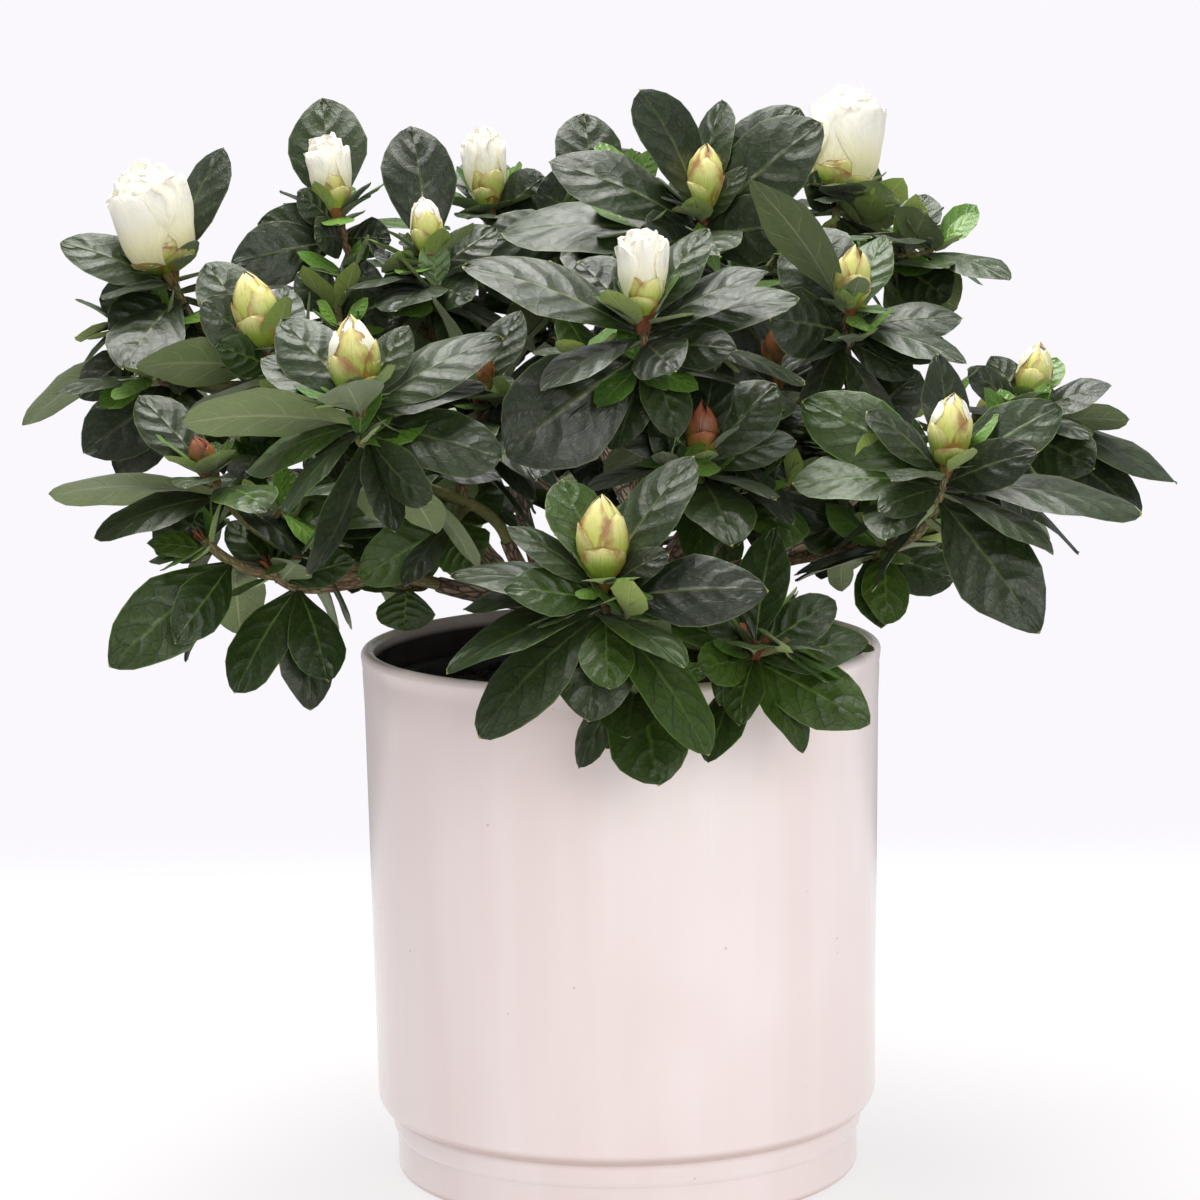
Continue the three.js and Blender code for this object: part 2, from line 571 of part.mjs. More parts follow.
// Leading leaves go on first, longest first, then the rule adds the rest round each shoot by the
// golden angle. A leaf that would touch another piece is turned a little, then shortened, and is
// left out after the last try.
function growLeaves(shoots) {
  const wood = Object.values(limbs).map(({ curve, radius }) => (
    { segments: segmentsOf(curve, LIMB_STEPS), clear: radius(0) + LIMB_GAP }
  ));
  shoots.forEach(({ twig, spray }) => (
    wood.push({ segments: segmentsOf(twig, TWIG.steps), clear: TWIG.clear, spray })
  ));
  const placed = [];

  const isFree = (leaf) => !leafMeetsPot(leaf)
    && !wood.some(({ segments, clear, spray }) => spray !== leaf.shoot.spray
      && near(segments, leaf.faces, clear))
    && !placed.some((other) => leavesMeet(leaf, other));

  const tryLeaf = (shoot, height, bearing, rise, length, width, roll) => {
    const below = lerp(LEAF.whorl[1], LEAF.whorl[0], height);
    const root = shoot.twig.getPoint(1 - below / shoot.span);
    for (let n = 0; n < LEAF.tries; n++) {
      const turn = (-1) ** n * Math.floor((n + 1) / 2);
      const tilt = turn * (-1) ** Math.floor(n / 2);
      const blade = makeLeaf(root, bearing + LEAF.turnStep * turn, rise + LEAF.riseStep * tilt,
        length * (1 - LEAF.shrinkStep * n), width, roll);
      const leaf = { ...blade, shoot };
      if (isFree(leaf)) {
        placed.push(leaf);
        return;
      }
    }
  };

  for (const shoot of shoots) {
    const longestFirst = shoot.lead.toSorted((a, b) => b[2] - a[2]);
    for (const [bearing, rise, length, width, roll] of longestFirst) {
      const height = THREE.MathUtils.clamp((rise + 30) / 110, 0, 1);
      tryLeaf(shoot, height, bearing, rise, length, width, roll);
    }
  }
  for (const shoot of shoots) {
    const start = 360 * noise(shoot.number, 1);
    for (let i = 0; i < shoot.more; i++) {
      const height = i / Math.max(1, shoot.more - 1);
      const [turn, lift, stretch, tip] = [0, 1, 2, 3].map((m) => noise(shoot.number + 1, 10 * i + m) - 0.5);
      const swell = 0.9 + 0.25 * Math.sin(Math.PI * Math.min(1, 1.3 * height))
        - 0.45 * Math.max(0, height - 0.6) / 0.4;
      const length = LEAF.length * swell * (1 + 0.2 * stretch);
      tryLeaf(shoot, height, start + i * GOLDEN_ANGLE + 24 * turn,
        lerp(LEAF.lowRise, LEAF.highRise, height) + 20 * lift,
        length, length * (LEAF.slim + 0.12 * tip), 20 * tip);
    }
  }
  return placed;
}

// A leaf as an octahedron drawn out to its root, tip and edges.
function leafSolid({ root, tip, left, right, middle, upper }) {
  const geometry = new THREE.OctahedronGeometry(1);
  const position = geometry.attributes.position;
  const half = LEAF.thickness / 2;
  const corners = [
    [(x) => x > 0.5, tip], [(x) => x < -0.5, root],
    [(x, y) => y > 0.5, left], [(x, y) => y < -0.5, right],
    [(x, y, z) => z > 0.5, middle.clone().addScaledVector(upper, half)],
    [() => true, middle.clone().addScaledVector(upper, -half)],
  ];
  for (let i = 0; i < position.count; i++) {
    const at = [position.getX(i), position.getY(i), position.getZ(i)];
    const [, corner] = corners.find(([matches]) => matches(...at));
    position.setXYZ(i, corner.x, corner.y, corner.z);
  }
  return toSolid(geometry);
}

// A bud or bloom on the tip of its shoot.
function endSolid({ end, tip, axis, number }) {
  const { sides, rings } = ENDS[end];
  const profile = rings.map(([height, radius]) => new THREE.Vector2(radius, height));
  const geometry = new THREE.LatheGeometry(profile, sides, noise(number, 9));
  geometry.applyQuaternion(new THREE.Quaternion().setFromUnitVectors(vec(0, 1, 0), axis));
  geometry.translate(tip.x, tip.y, tip.z);
  return toSolid(geometry);
}

function foliageSolid(shoots, leaves) {
  const twigRadius = (t) => lerp(TWIG.radii[0], TWIG.radii[1], t);
  const pieces = [
    ...shoots.map(({ twig }) => tube(twig, twigRadius, TWIG.sides, TWIG.steps)),
    ...shoots.filter(({ end }) => end in ENDS).map(endSolid),
    ...leaves.map(leafSolid),
  ];
  return largest(pieces.reduce((whole, piece) => whole.add(piece)));
}

// ---------------------------------------------------------------- the potted plant

const plant = new THREE.Group();
plant.add(finish("pot", potGeometry(), COLOURS.glaze, 0.25));
plant.add(finish("grow_pot", growPotGeometry(), COLOURS.black, 0.35));
plant.add(finish("potting_mix", mixGeometry(), COLOURS.mix, 0.95));

const solids = limbSolids();
for (const [name, solid] of Object.entries(solids)) {
  plant.add(finish(name === "trunk" ? name : `bough_${name}`, toGeometry(solid), COLOURS.bark, 0.8));
}

const shoots = growTwigs();
const leaves = growLeaves(shoots);
for (const spray of Object.keys(SPRAYS)) {
  const own = shoots.filter((shoot) => shoot.spray === spray);
  const ownLeaves = leaves.filter((leaf) => leaf.shoot.spray === spray);
  const color = own.some(({ lean }) => lean > 0.6) ? COLOURS.leafLow : COLOURS.leaf;
  plant.add(finish(`foliage_${spray}`, toGeometry(foliageSolid(own, ownLeaves)), color, 0.55));
}

export default plant;
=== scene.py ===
import bpy
import numpy as np
from mathutils import Matrix


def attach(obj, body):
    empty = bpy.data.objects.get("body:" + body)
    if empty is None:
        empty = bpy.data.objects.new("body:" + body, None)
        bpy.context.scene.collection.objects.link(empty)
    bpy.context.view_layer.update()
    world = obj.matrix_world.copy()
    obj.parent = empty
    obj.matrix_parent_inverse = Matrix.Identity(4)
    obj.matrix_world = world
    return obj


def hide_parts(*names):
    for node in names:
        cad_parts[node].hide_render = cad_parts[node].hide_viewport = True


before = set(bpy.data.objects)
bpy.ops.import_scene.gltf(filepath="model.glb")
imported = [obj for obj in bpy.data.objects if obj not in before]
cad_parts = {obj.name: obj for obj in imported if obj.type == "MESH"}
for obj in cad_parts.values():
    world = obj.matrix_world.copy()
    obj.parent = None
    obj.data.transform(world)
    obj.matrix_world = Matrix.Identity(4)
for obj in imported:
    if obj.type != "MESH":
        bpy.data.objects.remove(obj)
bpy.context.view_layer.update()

# A potted azalea in a glazed cover pot. The plant grows by the part's own rule, written again here
# in millimetres, with finer leaves, buds, blooms and bark. MM takes a length to the frame's metres.
MM = 0.001
PHASE = 6.28                       # a full turn, nearly: seeded phases and turns are shares of it

# ---------------------------------------------------------------- sizes

POT = dict(height=138.4, rim=67.5, lip=3.6, lip_height=5.0, shoulder=66.8, base=65.5, wall=3.8,
           corner=5.0, foot=60.6, foot_height=16.0, foot_edge=1.5, floor=8.0)
POT_GAP = 1.4
GROW_POT = dict(height=129.0, rim=61.8, rim_width=2.0, rim_height=5.0, base=50.0, wall=1.3)
MIX_TOP = 126.0
GAP = 0.3                          # between touching pieces

TRUNK = dict(foot=(-2, 3, MIX_TOP + GAP), fork=(0, -2, 150), radii=(5.0, 4.0), flare=3.0)
LIMB_STEPS = 5                     # of the part's own limbs and twigs, which the leaves keep clear of
LIMB_GAP = 0.75
TWIG = dict(radii=(1.7, 1.35), side_radii=(1.2, 0.9), clear=2.3)
GOLDEN_ANGLE = 137.508
LEAF = dict(bend=40.0, widest=0.55, length=31.0, slim=0.5, rises=(-35.0, 55.0), whorl=(1.5, 9.0),
            gap=1.25, own_gap=0.4, tries=7, turn=7.0, tilt=5.0, shrink=0.04)

END_SIZES = {"top": 0.86, "right": 0.86, "far_right": 0.78, "upper_right": 0.76, "upper_left": 0.95}

# Profiles of what ends a shoot: heights above its seat on the tip, and radii.
ENDS = {
    "bloom": ((-2, 0, 2, 6, 14, 22, 28), (0, 5.5, 8.2, 9.7, 10.4, 10.2, 8.8)),
    "opening": ((-2, 0, 4, 9, 15, 19, 23), (0, 2.6, 4.6, 5.6, 5.7, 4.8, 3.4)),
    "bud": ((-2, 0, 4, 8, 13, 17, 19.5), (0, 3.2, 5.2, 6.1, 5.4, 3.2, 0)),
    "small": ((-2, 0, 4, 8, 13, 16), (0, 2.4, 3.9, 4.4, 3.4, 0.6)),
    "pink": ((-2, 0, 3, 6, 9), (0, 2.4, 3.3, 2.8, 0)),
    "brown": ((-2, 0, 5, 9, 13), (0, 2.8, 4.2, 3.2, 0)),
    "scales": ((-2, 0, 4, 8), (0, 2.6, 3.2, 0)),
}

# The sprays: a bough (its parent, how far along it, tip as bearing, reach and height, radii) and
# its shoots (place, lean, what ends it, leaves that the rule adds, leading leaves). A leading leaf
# is its bearing, rise, length, width and roll.
SPRAYS = {
    "top": (("trunk", 1.0, (-50, 12, 196), (3.4, 2.0)), [
        ((-34, 27, 251), 0.08, "bud", 2, [
            (-116, 74, 37, 23, 90), (129, 83, 32, 15, 85), (-34, 44, 41, 22, -90),
            (-2, 56, 41, 19, -70), (-160, 39, 43, 20, 50), (-60, 53, 20, 9, -90),
            (-173, 18, 52, 24, 35), (-107, 8, 20, 19, 65), (-56, 12, 28, 18, -80),
        ]),
    ]),
    "front": (("trunk", 0.95, (-90, 60, 150), (3.2, 2.0)), [
        ((-92, 108, 172), 0.15, "bud", 0, [
            (-99, -35, 29, 19, 5), (-36, -30, 43, 20, -10), (-150, -22, 43, 20, 20),
            (-163, -2, 41, 19, 20), (-22, 16, 39, 18, -55), (-138, 18, 26, 12, 70),
            (-175, 27, 37, 17, 25), (-8, 67, 38, 17, -55), (178, 79, 27, 16, 55),
            (-167, 51, 28, 13, 40), (-145, 45, 26, 12, 45), (-52, 45, 23, 10, -65),
            (22, 69, 27, 13, -40),
        ]),
        ((-86, 88, 144), 0.9, "leafy", 2, [
            (-78, -31, 31, 20, -5), (-54, -11, 21, 14, -45), (-84, -16, 20, 12, 10),
        ]),
    ]),
    "low_left": (("trunk", 0.9, (-152, 52, 158), (3.2, 2.0)), [
        ((-156, 111, 191), 0.4, "pink", 3, [
            (173, 17, 43, 20, -35), (-159, 2, 34, 16, 25), (-150, -21, 23, 17, 60),
            (178, 57, 30, 14, 60),
        ]),
        ((-154, 114, 174), 0.8, "green", 1, [
            (-137, -24, 41, 20, 50), (-108, -22, 29, 13, 40), (-166, 30, 20, 9, 45),
            (154, 75, 10, 7, 20), (-152, -36, 29, 13, 0),
        ]),
        ((-154, 97, 166), 0.5, "green", 2, [
            (-66, -50, 32, 15, 5), (-130, -33, 32, 15, 20), (-51, 39, 15, 11, 45),
            (-37, 23, 20, 10, -80), (180, 58, 19, 11, 60),
        ]),
        ((-164, 52, 159), 0.5, "leafy", 0, [
            (-96, -53, 12, 15, 5), (104, -9, 16, 14, -55), (178, 25, 23, 11, 50),
        ]),
    ]),
    "right": (("trunk", 0.9, (-28, 42, 160), (3.0, 2.0)), [
        ((-45, 111, 194), 0.15, "bud", 0, [
            (-53, -32, 42, 21, -35), (-10, 11, 49, 23, -20), (-15, 40, 34, 16, -70),
            (-56, 26, 28, 13, -75), (24, 83, 29, 14, -90), (-172, 48, 30, 14, 45),
            (-175, 39, 40, 18, 65), (-164, 19, 37, 17, 35), (-124, 10, 24, 11, 30),
            (1, -10, 13, 12, -70),
        ]),
        ((-24, 69, 171), 0.7, "leafy", 0, [
            (-29, -5, 29, 15, -60), (5, 38, 21, 17, -65), (97, -30, 16, 7, 20), (-141, 34, 18, 16, 90),
            (3, 12, 27, 13, -65),
        ]),
    ]),
    "back_left": (("trunk", 0.85, (148, 50, 160), (3.0, 2.0)), [
        ((152, 112, 188), 0.45, "bud", 9, []),
        ((138, 96, 176), 0.65, "leafy", 7, []),
        ((150, 90, 222), 0.3, "leafy", 8, []),
        ((118, 94, 176), 0.6, "leafy", 7, []),
    ]),
    "back_mid_right": (("trunk", 0.8, (62, 46, 168), (3.0, 2.0)), [
        ((64, 106, 206), 0.3, "bud", 9, []),
        ((76, 90, 176), 0.6, "leafy", 8, []),
        ((48, 76, 190), 0.3, "leafy", 6, []),
    ]),
    "centre": (("front", 0.35, (-72, 38, 178), (2.4, 1.8)), [
        ((-85, 75, 230), 0.08, "opening", 1, [
            (-163, 37, 47, 22, 45), (-139, -20, 44, 27, 50), (-21, 41, 34, 16, -45),
            (-51, 7, 26, 12, -65), (-83, 6, 24, 15, -30), (176, 56, 26, 16, 65), (-4, 66, 29, 13, -60),
            (-12, 29, 39, 18, -40), (64, 82, 21, 15, -40),
        ]),
        ((-74, 73, 196), 0.08, "brown", 3, [
            (-157, 39, 29, 13, 80), (-26, 88, 28, 13, -90), (-26, 33, 27, 12, -55),
            (-157, 64, 23, 14, 90), (-117, 21, 20, 13, 85), (-5, 53, 28, 16, -70),
        ]),
        ((-38, 51, 212), 0.08, "brown", 5, [
            (-173, 44, 24, 16, 75), (1, 32, 24, 15, -70), (-77, -4, 16, 16, -20),
        ]),
        ((-59, 58, 187), 0.3, "leafy", 3, [
            (-45, 17, 21, 17, -75), (-72, -25, 23, 13, -20), (-17, -12, 34, 18, -65),
            (-107, -13, 17, 12, 15),
        ]),
    ]),
    "low_right": (("front", 0.5, (-66, 58, 150), (2.2, 1.8)), [
        ((-69, 90, 152), 0.4, "scales", 2, [
            (-40, -13, 34, 17, -50), (-27, 16, 29, 13, -70), (-108, 12, 23, 12, 60),
            (-13, 45, 25, 12, -75), (-169, 38, 30, 14, 40), (-114, -15, 17, 12, 25),
            (-20, 86, 30, 14, -90), (178, 52, 19, 11, 65),
        ]),
    ]),
    "front_left": (("low_left", 0.35, (-132, 42, 170), (2.5, 1.8)), [
        ((-127, 102, 212), 0.12, "bud", 1, [
            (171, 16, 44, 20, -45), (-163, 11, 41, 19, 25), (-174, 47, 30, 14, 45),
            (175, 57, 31, 17, 60), (2, 59, 27, 12, -70), (-11, 43, 39, 18, -45), (-22, 35, 34, 15, -35),
            (-31, 2, 36, 17, -45), (-74, -29, 29, 13, -80), (-96, -63, 38, 18, 80),
            (-99, 40, 30, 16, -15),
        ]),
        ((-132, 51, 208), 0.1, "brown", 5, [
            (105, 75, 29, 15, -90), (4, 75, 26, 12, -55), (-46, 12, 19, 15, -70),
        ]),
        ((-148, 56, 175), 0.6, "leafy", 2, [
            (-67, -29, 14, 15, -30), (-155, -15, 29, 15, 60), (-179, 22, 36, 17, 35),
            (1, 43, 21, 15, -70), (172, 25, 50, 23, 25),
        ]),
    ]),
    "left": (("low_left", 0.45, (-168, 48, 188), (2.4, 1.8)), [
        ((-166, 91, 219), 0.25, "bud", 3, [
            (-150, 38, 29, 17, 85), (-174, 64, 30, 18, 70), (-121, 22, 19, 11, 90),
            (179, 17, 36, 17, -50), (70, 69, 22, 14, -10),
        ]),
        ((174, 73, 228), 0.2, "leafy", 4, [
            (-18, 59, 16, 13, -90), (-128, 56, 16, 13, 90), (-53, 19, 16, 15, -85),
        ]),
    ]),
    "far_left": (("low_left", 0.6, (176, 74, 190), (2.4, 1.8)), [
        ((171, 118, 236), 0.25, "bloom", 4, [
            (-166, 35, 33, 15, 55), (-30, 79, 37, 17, -75), (-124, -10, 24, 18, 50),
            (-177, 4, 23, 14, 70),
        ]),
        ((169, 133, 222), 0.7, "leafy", 2, [
            (172, -15, 39, 18, -30), (-131, -20, 23, 12, 50), (-51, -1, 11, 9, -55),
        ]),
        ((172, 122, 212), 0.7, "leafy", 2, [
            (-143, -23, 33, 19, 55), (-86, -31, 19, 12, -10), (-138, -40, 31, 15, 50),
            (-119, 5, 12, 11, 65),
        ]),
    ]),
    "upper_left": (("top", 0.35, (166, 36, 204), (2.5, 1.8)), [
        ((161, 77, 250), 0.15, "opening", 3, [
            (174, 80, 34, 21, 90), (-125, 42, 16, 10, 90), (-157, 15, 23, 13, 75),
            (-141, -1, 32, 17, 65), (-97, 10, 15, 12, 70), (-41, 6, 14, 11, -70),
        ]),
        ((173, 48, 239), 0.1, "small", 4, [
            (-176, 87, 38, 19, 80), (1, 41, 22, 12, -70), (-125, 1, 16, 14, 60), (-77, 7, 23, 14, -50),
        ]),
    ]),
    "upper_back": (("top", 0.55, (108, 28, 208), (2.3, 1.8)), [
        ((124, 60, 249), 0.15, "opening", 5, [
            (101, 67, 22, 17, 0), (-46, 52, 13, 11, 35), (-52, 42, 21, 15, -90),
        ]),
        ((98, 42, 250), 0.05, "leafy", 4, [
            (64, 87, 28, 18, -40), (-118, 31, 21, 20, 90), (-138, 5, 33, 16, 70), (23, 58, 25, 16, -50),
        ]),
    ]),
    "upper_right": (("right", 0.3, (-37, 40, 184), (2.4, 1.8)), [
        ((-38, 73, 229), 0.12, "bud", 2, [
            (157, 70, 42, 19, -55), (176, 73, 35, 21, 65), (-8, 19, 30, 14, -45),
            (-23, 10, 30, 14, -40), (-39, -12, 22, 10, -55), (-122, 15, 25, 18, 80),
            (35, 65, 26, 12, -40), (-179, 53, 18, 11, 75),
        ]),
        ((-36, 68, 195), 0.3, "leafy", 3, [
            (-20, 47, 30, 18, -80), (-24, -13, 25, 13, -65), (-118, -19, 17, 13, 30),
        ]),
    ]),
    "far_right": (("right", 0.35, (4, 62, 176), (2.4, 1.8)), [
        ((6, 108, 199), 0.2, "bud", 4, [
            (-15, 28, 29, 13, -40), (22, 8, 33, 15, 40), (-7, -1, 45, 20, -15), (-22, -12, 42, 19, -30),
            (-43, -18, 30, 17, -55), (-136, 45, 21, 10, 80), (172, 64, 18, 10, 65),
        ]),
    ]),
    "back_right": (("back_mid_right", 0.45, (38, 56, 206), (2.4, 1.8)), [
        ((52, 101, 251), 0.2, "bloom", 5, [
            (3, 57, 16, 13, -65), (-10, 13, 20, 15, 80), (-121, 37, 14, 13, 90),
        ]),
        ((29, 92, 240), 0.4, "leafy", 4, [
            (-49, 54, 16, 16, 60), (17, -28, 21, 20, 70), (-61, -12, 21, 17, -45),
            (63, 67, 18, 13, -10),
        ]),
    ]),
    "low_back_right": (("back_mid_right", 0.3, (26, 58, 160), (2.3, 1.8)), [
        ((20, 104, 184), 0.45, "bud", 8, []),
        ((42, 92, 176), 0.6, "leafy", 7, []),
        ((58, 98, 178), 0.6, "leafy", 6, []),
    ]),
    "back": (("back_mid_right", 0.35, (92, 56, 164), (2.4, 1.8)), [
        ((94, 114, 186), 0.4, "bud", 9, []),
        ((86, 92, 152), 0.9, "leafy", 7, []),
        ((100, 82, 220), 0.2, "bud", 9, []),
    ]),
    "back_mid_left": (("back_left", 0.4, (122, 56, 188), (2.4, 1.8)), [
        ((122, 108, 210), 0.3, "bud", 9, []),
        ((128, 76, 236), 0.15, "leafy", 8, []),
    ]),
    "back_top": (("top", 0.75, (62, 26, 214), (2.0, 1.7)), [
        ((66, 52, 244), 0.15, "opening", 9, []),
        ((78, 72, 228), 0.3, "leafy", 7, []),
        ((20, 46, 240), 0.2, "leafy", 7, []),
    ]),
}

FINER = 5                          # further leaves that the rule adds to each shoot here
SIDE = dict(count=3, forks=(0.3, 0.85), length=(9.0, 19.0), leaves=5, size=0.85, clear=1.6, reach=30.0,
            number=200)
MOST_LEAVES = 4000
LEAD_RISES = (-30, 80)             # a leading leaf's place in its whorl goes with its rise
# Shoots without side twigs, on which the rule adds this many further leaves instead.
BARE = {("low_left", 1): 1, ("low_left", 2): 0, ("low_left", 3): 0, ("front_left", 2): 1, ("far_left", 1): 1,
        ("right", 1): 0}

# ---------------------------------------------------------------- the growth rule

UP = np.array([0.0, 0.0, 1.0])


def noise(a, b):
    """A repeatable number from 0 to 1: the fraction of a large multiple of a sine."""
    v = np.sin(a * 12.9898 + b * 78.233) * 43758.5453
    return v - np.floor(v)


def lerp(a, b, t):
    return a + (b - a) * t


def unit(v):
    return v / np.linalg.norm(v, axis=-1, keepdims=True)


def outward(bearing):
    """The level direction of a bearing in degrees from +X."""
    b = np.radians(bearing)
    return np.array([np.cos(b), np.sin(b), 0.0])


def place(bearing, reach, height):
    """The point at a bearing, a distance from Z and a height."""
    return outward(bearing) * reach + UP * height


class Curve:
    """A Bezier curve of three or four control points: the sum of the points, each weighted by its
    Bernstein polynomial."""

    def __init__(self, *controls):
        self.c = np.array(controls, float)

    def at(self, t):
        t, c = np.asarray(t, float)[..., None], self.c
        s = 1 - t
        if len(c) == 3:
            return s * s * c[0] + 2 * s * t * c[1] + t * t * c[2]
        return s**3 * c[0] + 3 * s * s * t * c[1] + 3 * s * t * t * c[2] + t**3 * c[3]

    def along(self, t):
        t, d = np.asarray(t, float)[..., None], np.diff(self.c, axis=0)
        s = 1 - t
        if len(d) == 2:
            return unit(s * d[0] + t * d[1])
        return unit(s * s * d[0] + 2 * s * t * d[1] + t * t * d[2])

    def segments(self):
        points = self.at(np.linspace(0, 1, LIMB_STEPS + 1))
        return np.stack([points[:-1], points[1:]], 1)


def grow_limbs():
    """The trunk goes straight up from its foot and then leans to its fork. Each bough leaves its
    parent outwards and turns up to its tip."""
    foot, fork = np.array(TRUNK["foot"], float), np.array(TRUNK["fork"], float)
    middle = foot * [1, 1, 0] + UP * (foot[2] + fork[2]) / 2
    limbs = {"trunk": (Curve(foot, middle, fork), TRUNK["radii"][0] + TRUNK["flare"], TRUNK["radii"][1])}
    for name, ((parent, at, tip, radii), _) in SPRAYS.items():
        start, end = limbs[parent][0].at(at), place(*tip)
        control = start + (end - start) * [0.6, 0.6, 0.35]
        limbs[name] = (Curve(start, control, end), *radii)
    return limbs


def grow_shoots(limbs):
    """Twigs branch from the spray's stem, which carries on from the bough's tip to the first
    shoot."""
    shoots = []
    for spray, (_, rows) in SPRAYS.items():
        stem = None
        for row, (at, lean, end, more, lead) in enumerate(rows):
            number = len(shoots)
            tip, axis = place(*at), unit(outward(at[0]) * lean + UP)
            fork = 0.12 + 0.25 * noise(number, 5) if stem else 1.0
            source = stem or limbs[spray][0]
            way = source.along(fork)
            start = source.at(fork) + way * (0 if stem else GAP)
            span = np.linalg.norm(tip - start)
            twig = Curve(start, start + way * span * (0.2 if stem else 0.3), tip - axis * 0.4 * span, tip)
            stem = stem or twig
            shoots.append(dict(spray=spray, row=row, number=number, tip=tip, axis=axis, twig=twig, span=span,
                               lean=lean, end=end, more=more, lead=lead, height=at[2]))
    return shoots


def grow_side_twigs(shoots):
    """Each shoot's twig forks again, turned by the golden angle, into short twigs that bend up."""
    side = []
    for shoot in shoots:
        for i in range(SIDE["count"] if (shoot["spray"], shoot["row"]) not in BARE else 0):
            number = SIDE["number"] + SIDE["count"] * shoot["number"] + i
            fork = lerp(*SIDE["forks"], noise(number, 6))
            start, way = shoot["twig"].at(fork), shoot["twig"].along(fork)
            flat = outward(360 * noise(shoot["number"], 7) + GOLDEN_ANGLE * i)
            span = lerp(*SIDE["length"], noise(number, 8))
            tip, axis = start + unit(flat + 0.6 * way + 0.3 * UP) * span, unit(0.6 * flat + UP)
            twig = Curve(start, start + way * span * 0.3, tip - axis * 0.35 * span, tip)
            side.append(dict(shoot, number=number, tip=tip, axis=axis, twig=twig, span=span, end="leafy",
                             height=tip[2]))
    return side


def leaf_frame(root, bearing, rise, length, width, roll):
    """A leaf's directions and key points. Its middle line is an arc that starts along the head
    direction and bends away from the upper side."""
    flat, r, w, bend = outward(bearing), np.radians(rise), np.radians(roll), np.radians(LEAF["bend"])
    head = flat * np.cos(r) + UP * np.sin(r)
    upper = UP * np.cos(r) - flat * np.sin(r)
    upper = upper * np.cos(w) + np.cross(upper, head) * np.sin(w)
    side = np.cross(upper, head)
    u = np.array([LEAF["widest"], 0.12, 1.0])[:, None]
    middle, base, tip = (root + length / bend * (np.sin(bend * u) * head - (1 - np.cos(bend * u)) * upper))
    left, right = middle + side * width / 2, middle - side * width / 2
    return dict(
        root=root, head=head, upper=upper, side=side, length=length, width=width,
        centre=(base + tip) / 2, size=0.56 * max(length, width),
        faces=np.array([[base, left, middle], [left, tip, middle], [tip, right, middle], [right, base, middle]]),
        edges=np.array([[base, left], [left, tip], [tip, right], [right, base],
                        [base, middle], [middle, tip], [left, middle], [middle, right]]),
    )


def near(segments, faces, gap):
    """Whether any segment comes within a gap of any triangle's face: the stretch of the segment that
    lies within the gap of the plane is tried at its two ends and its middle."""
    start, end = segments[:, None, 0], segments[:, None, 1]
    a = faces[None, :, 0]
    normal = unit(np.cross(faces[:, 1] - faces[:, 0], faces[:, 2] - faces[:, 0]))[None]
    high, low = ((start - a) * normal).sum(-1), ((end - a) * normal).sum(-1)
    crosses = ~(((high > gap) & (low > gap)) | ((high < -gap) & (low < -gap)))
    if not crosses.any():
        return False
    run = np.where(np.abs(low - high) < 1e-9, 1e-9, low - high)
    first, last = np.clip((gap - high) / run, 0, 1), np.clip((-gap - high) / run, 0, 1)
    for share in (0.0, 0.5, 1.0):
        x = start + (end - start) * lerp(first, last, share)[..., None]
        inside = crosses.copy()
        for i in range(3):
            corner = faces[None, :, i]
            inward = unit(np.cross(normal, faces[None, :, (i + 1) % 3] - corner))
            inside &= ((x - corner) * inward).sum(-1) > -gap
        if inside.any():
            return True
    return False


def meets_pot(leaf):
    """Whether a leaf would touch the cover pot or dip into the mix."""
    share = np.array([0, 0.25, 0.5, 0.75, 1])[:, None, None]
    points = lerp(leaf["edges"][:, 0], leaf["edges"][:, 1], share).reshape(-1, 3)
    reach, z = np.hypot(points[:, 0], points[:, 1]), points[:, 2]
    outside = POT["rim"] + POT_GAP
    over_wall = (reach > POT["rim"] - POT["lip"] - POT_GAP) & (reach < outside)
    return bool(((z < MIX_TOP + POT_GAP) & (reach < outside)).any()
                or ((z < POT["height"] + POT_GAP) & over_wall).any())


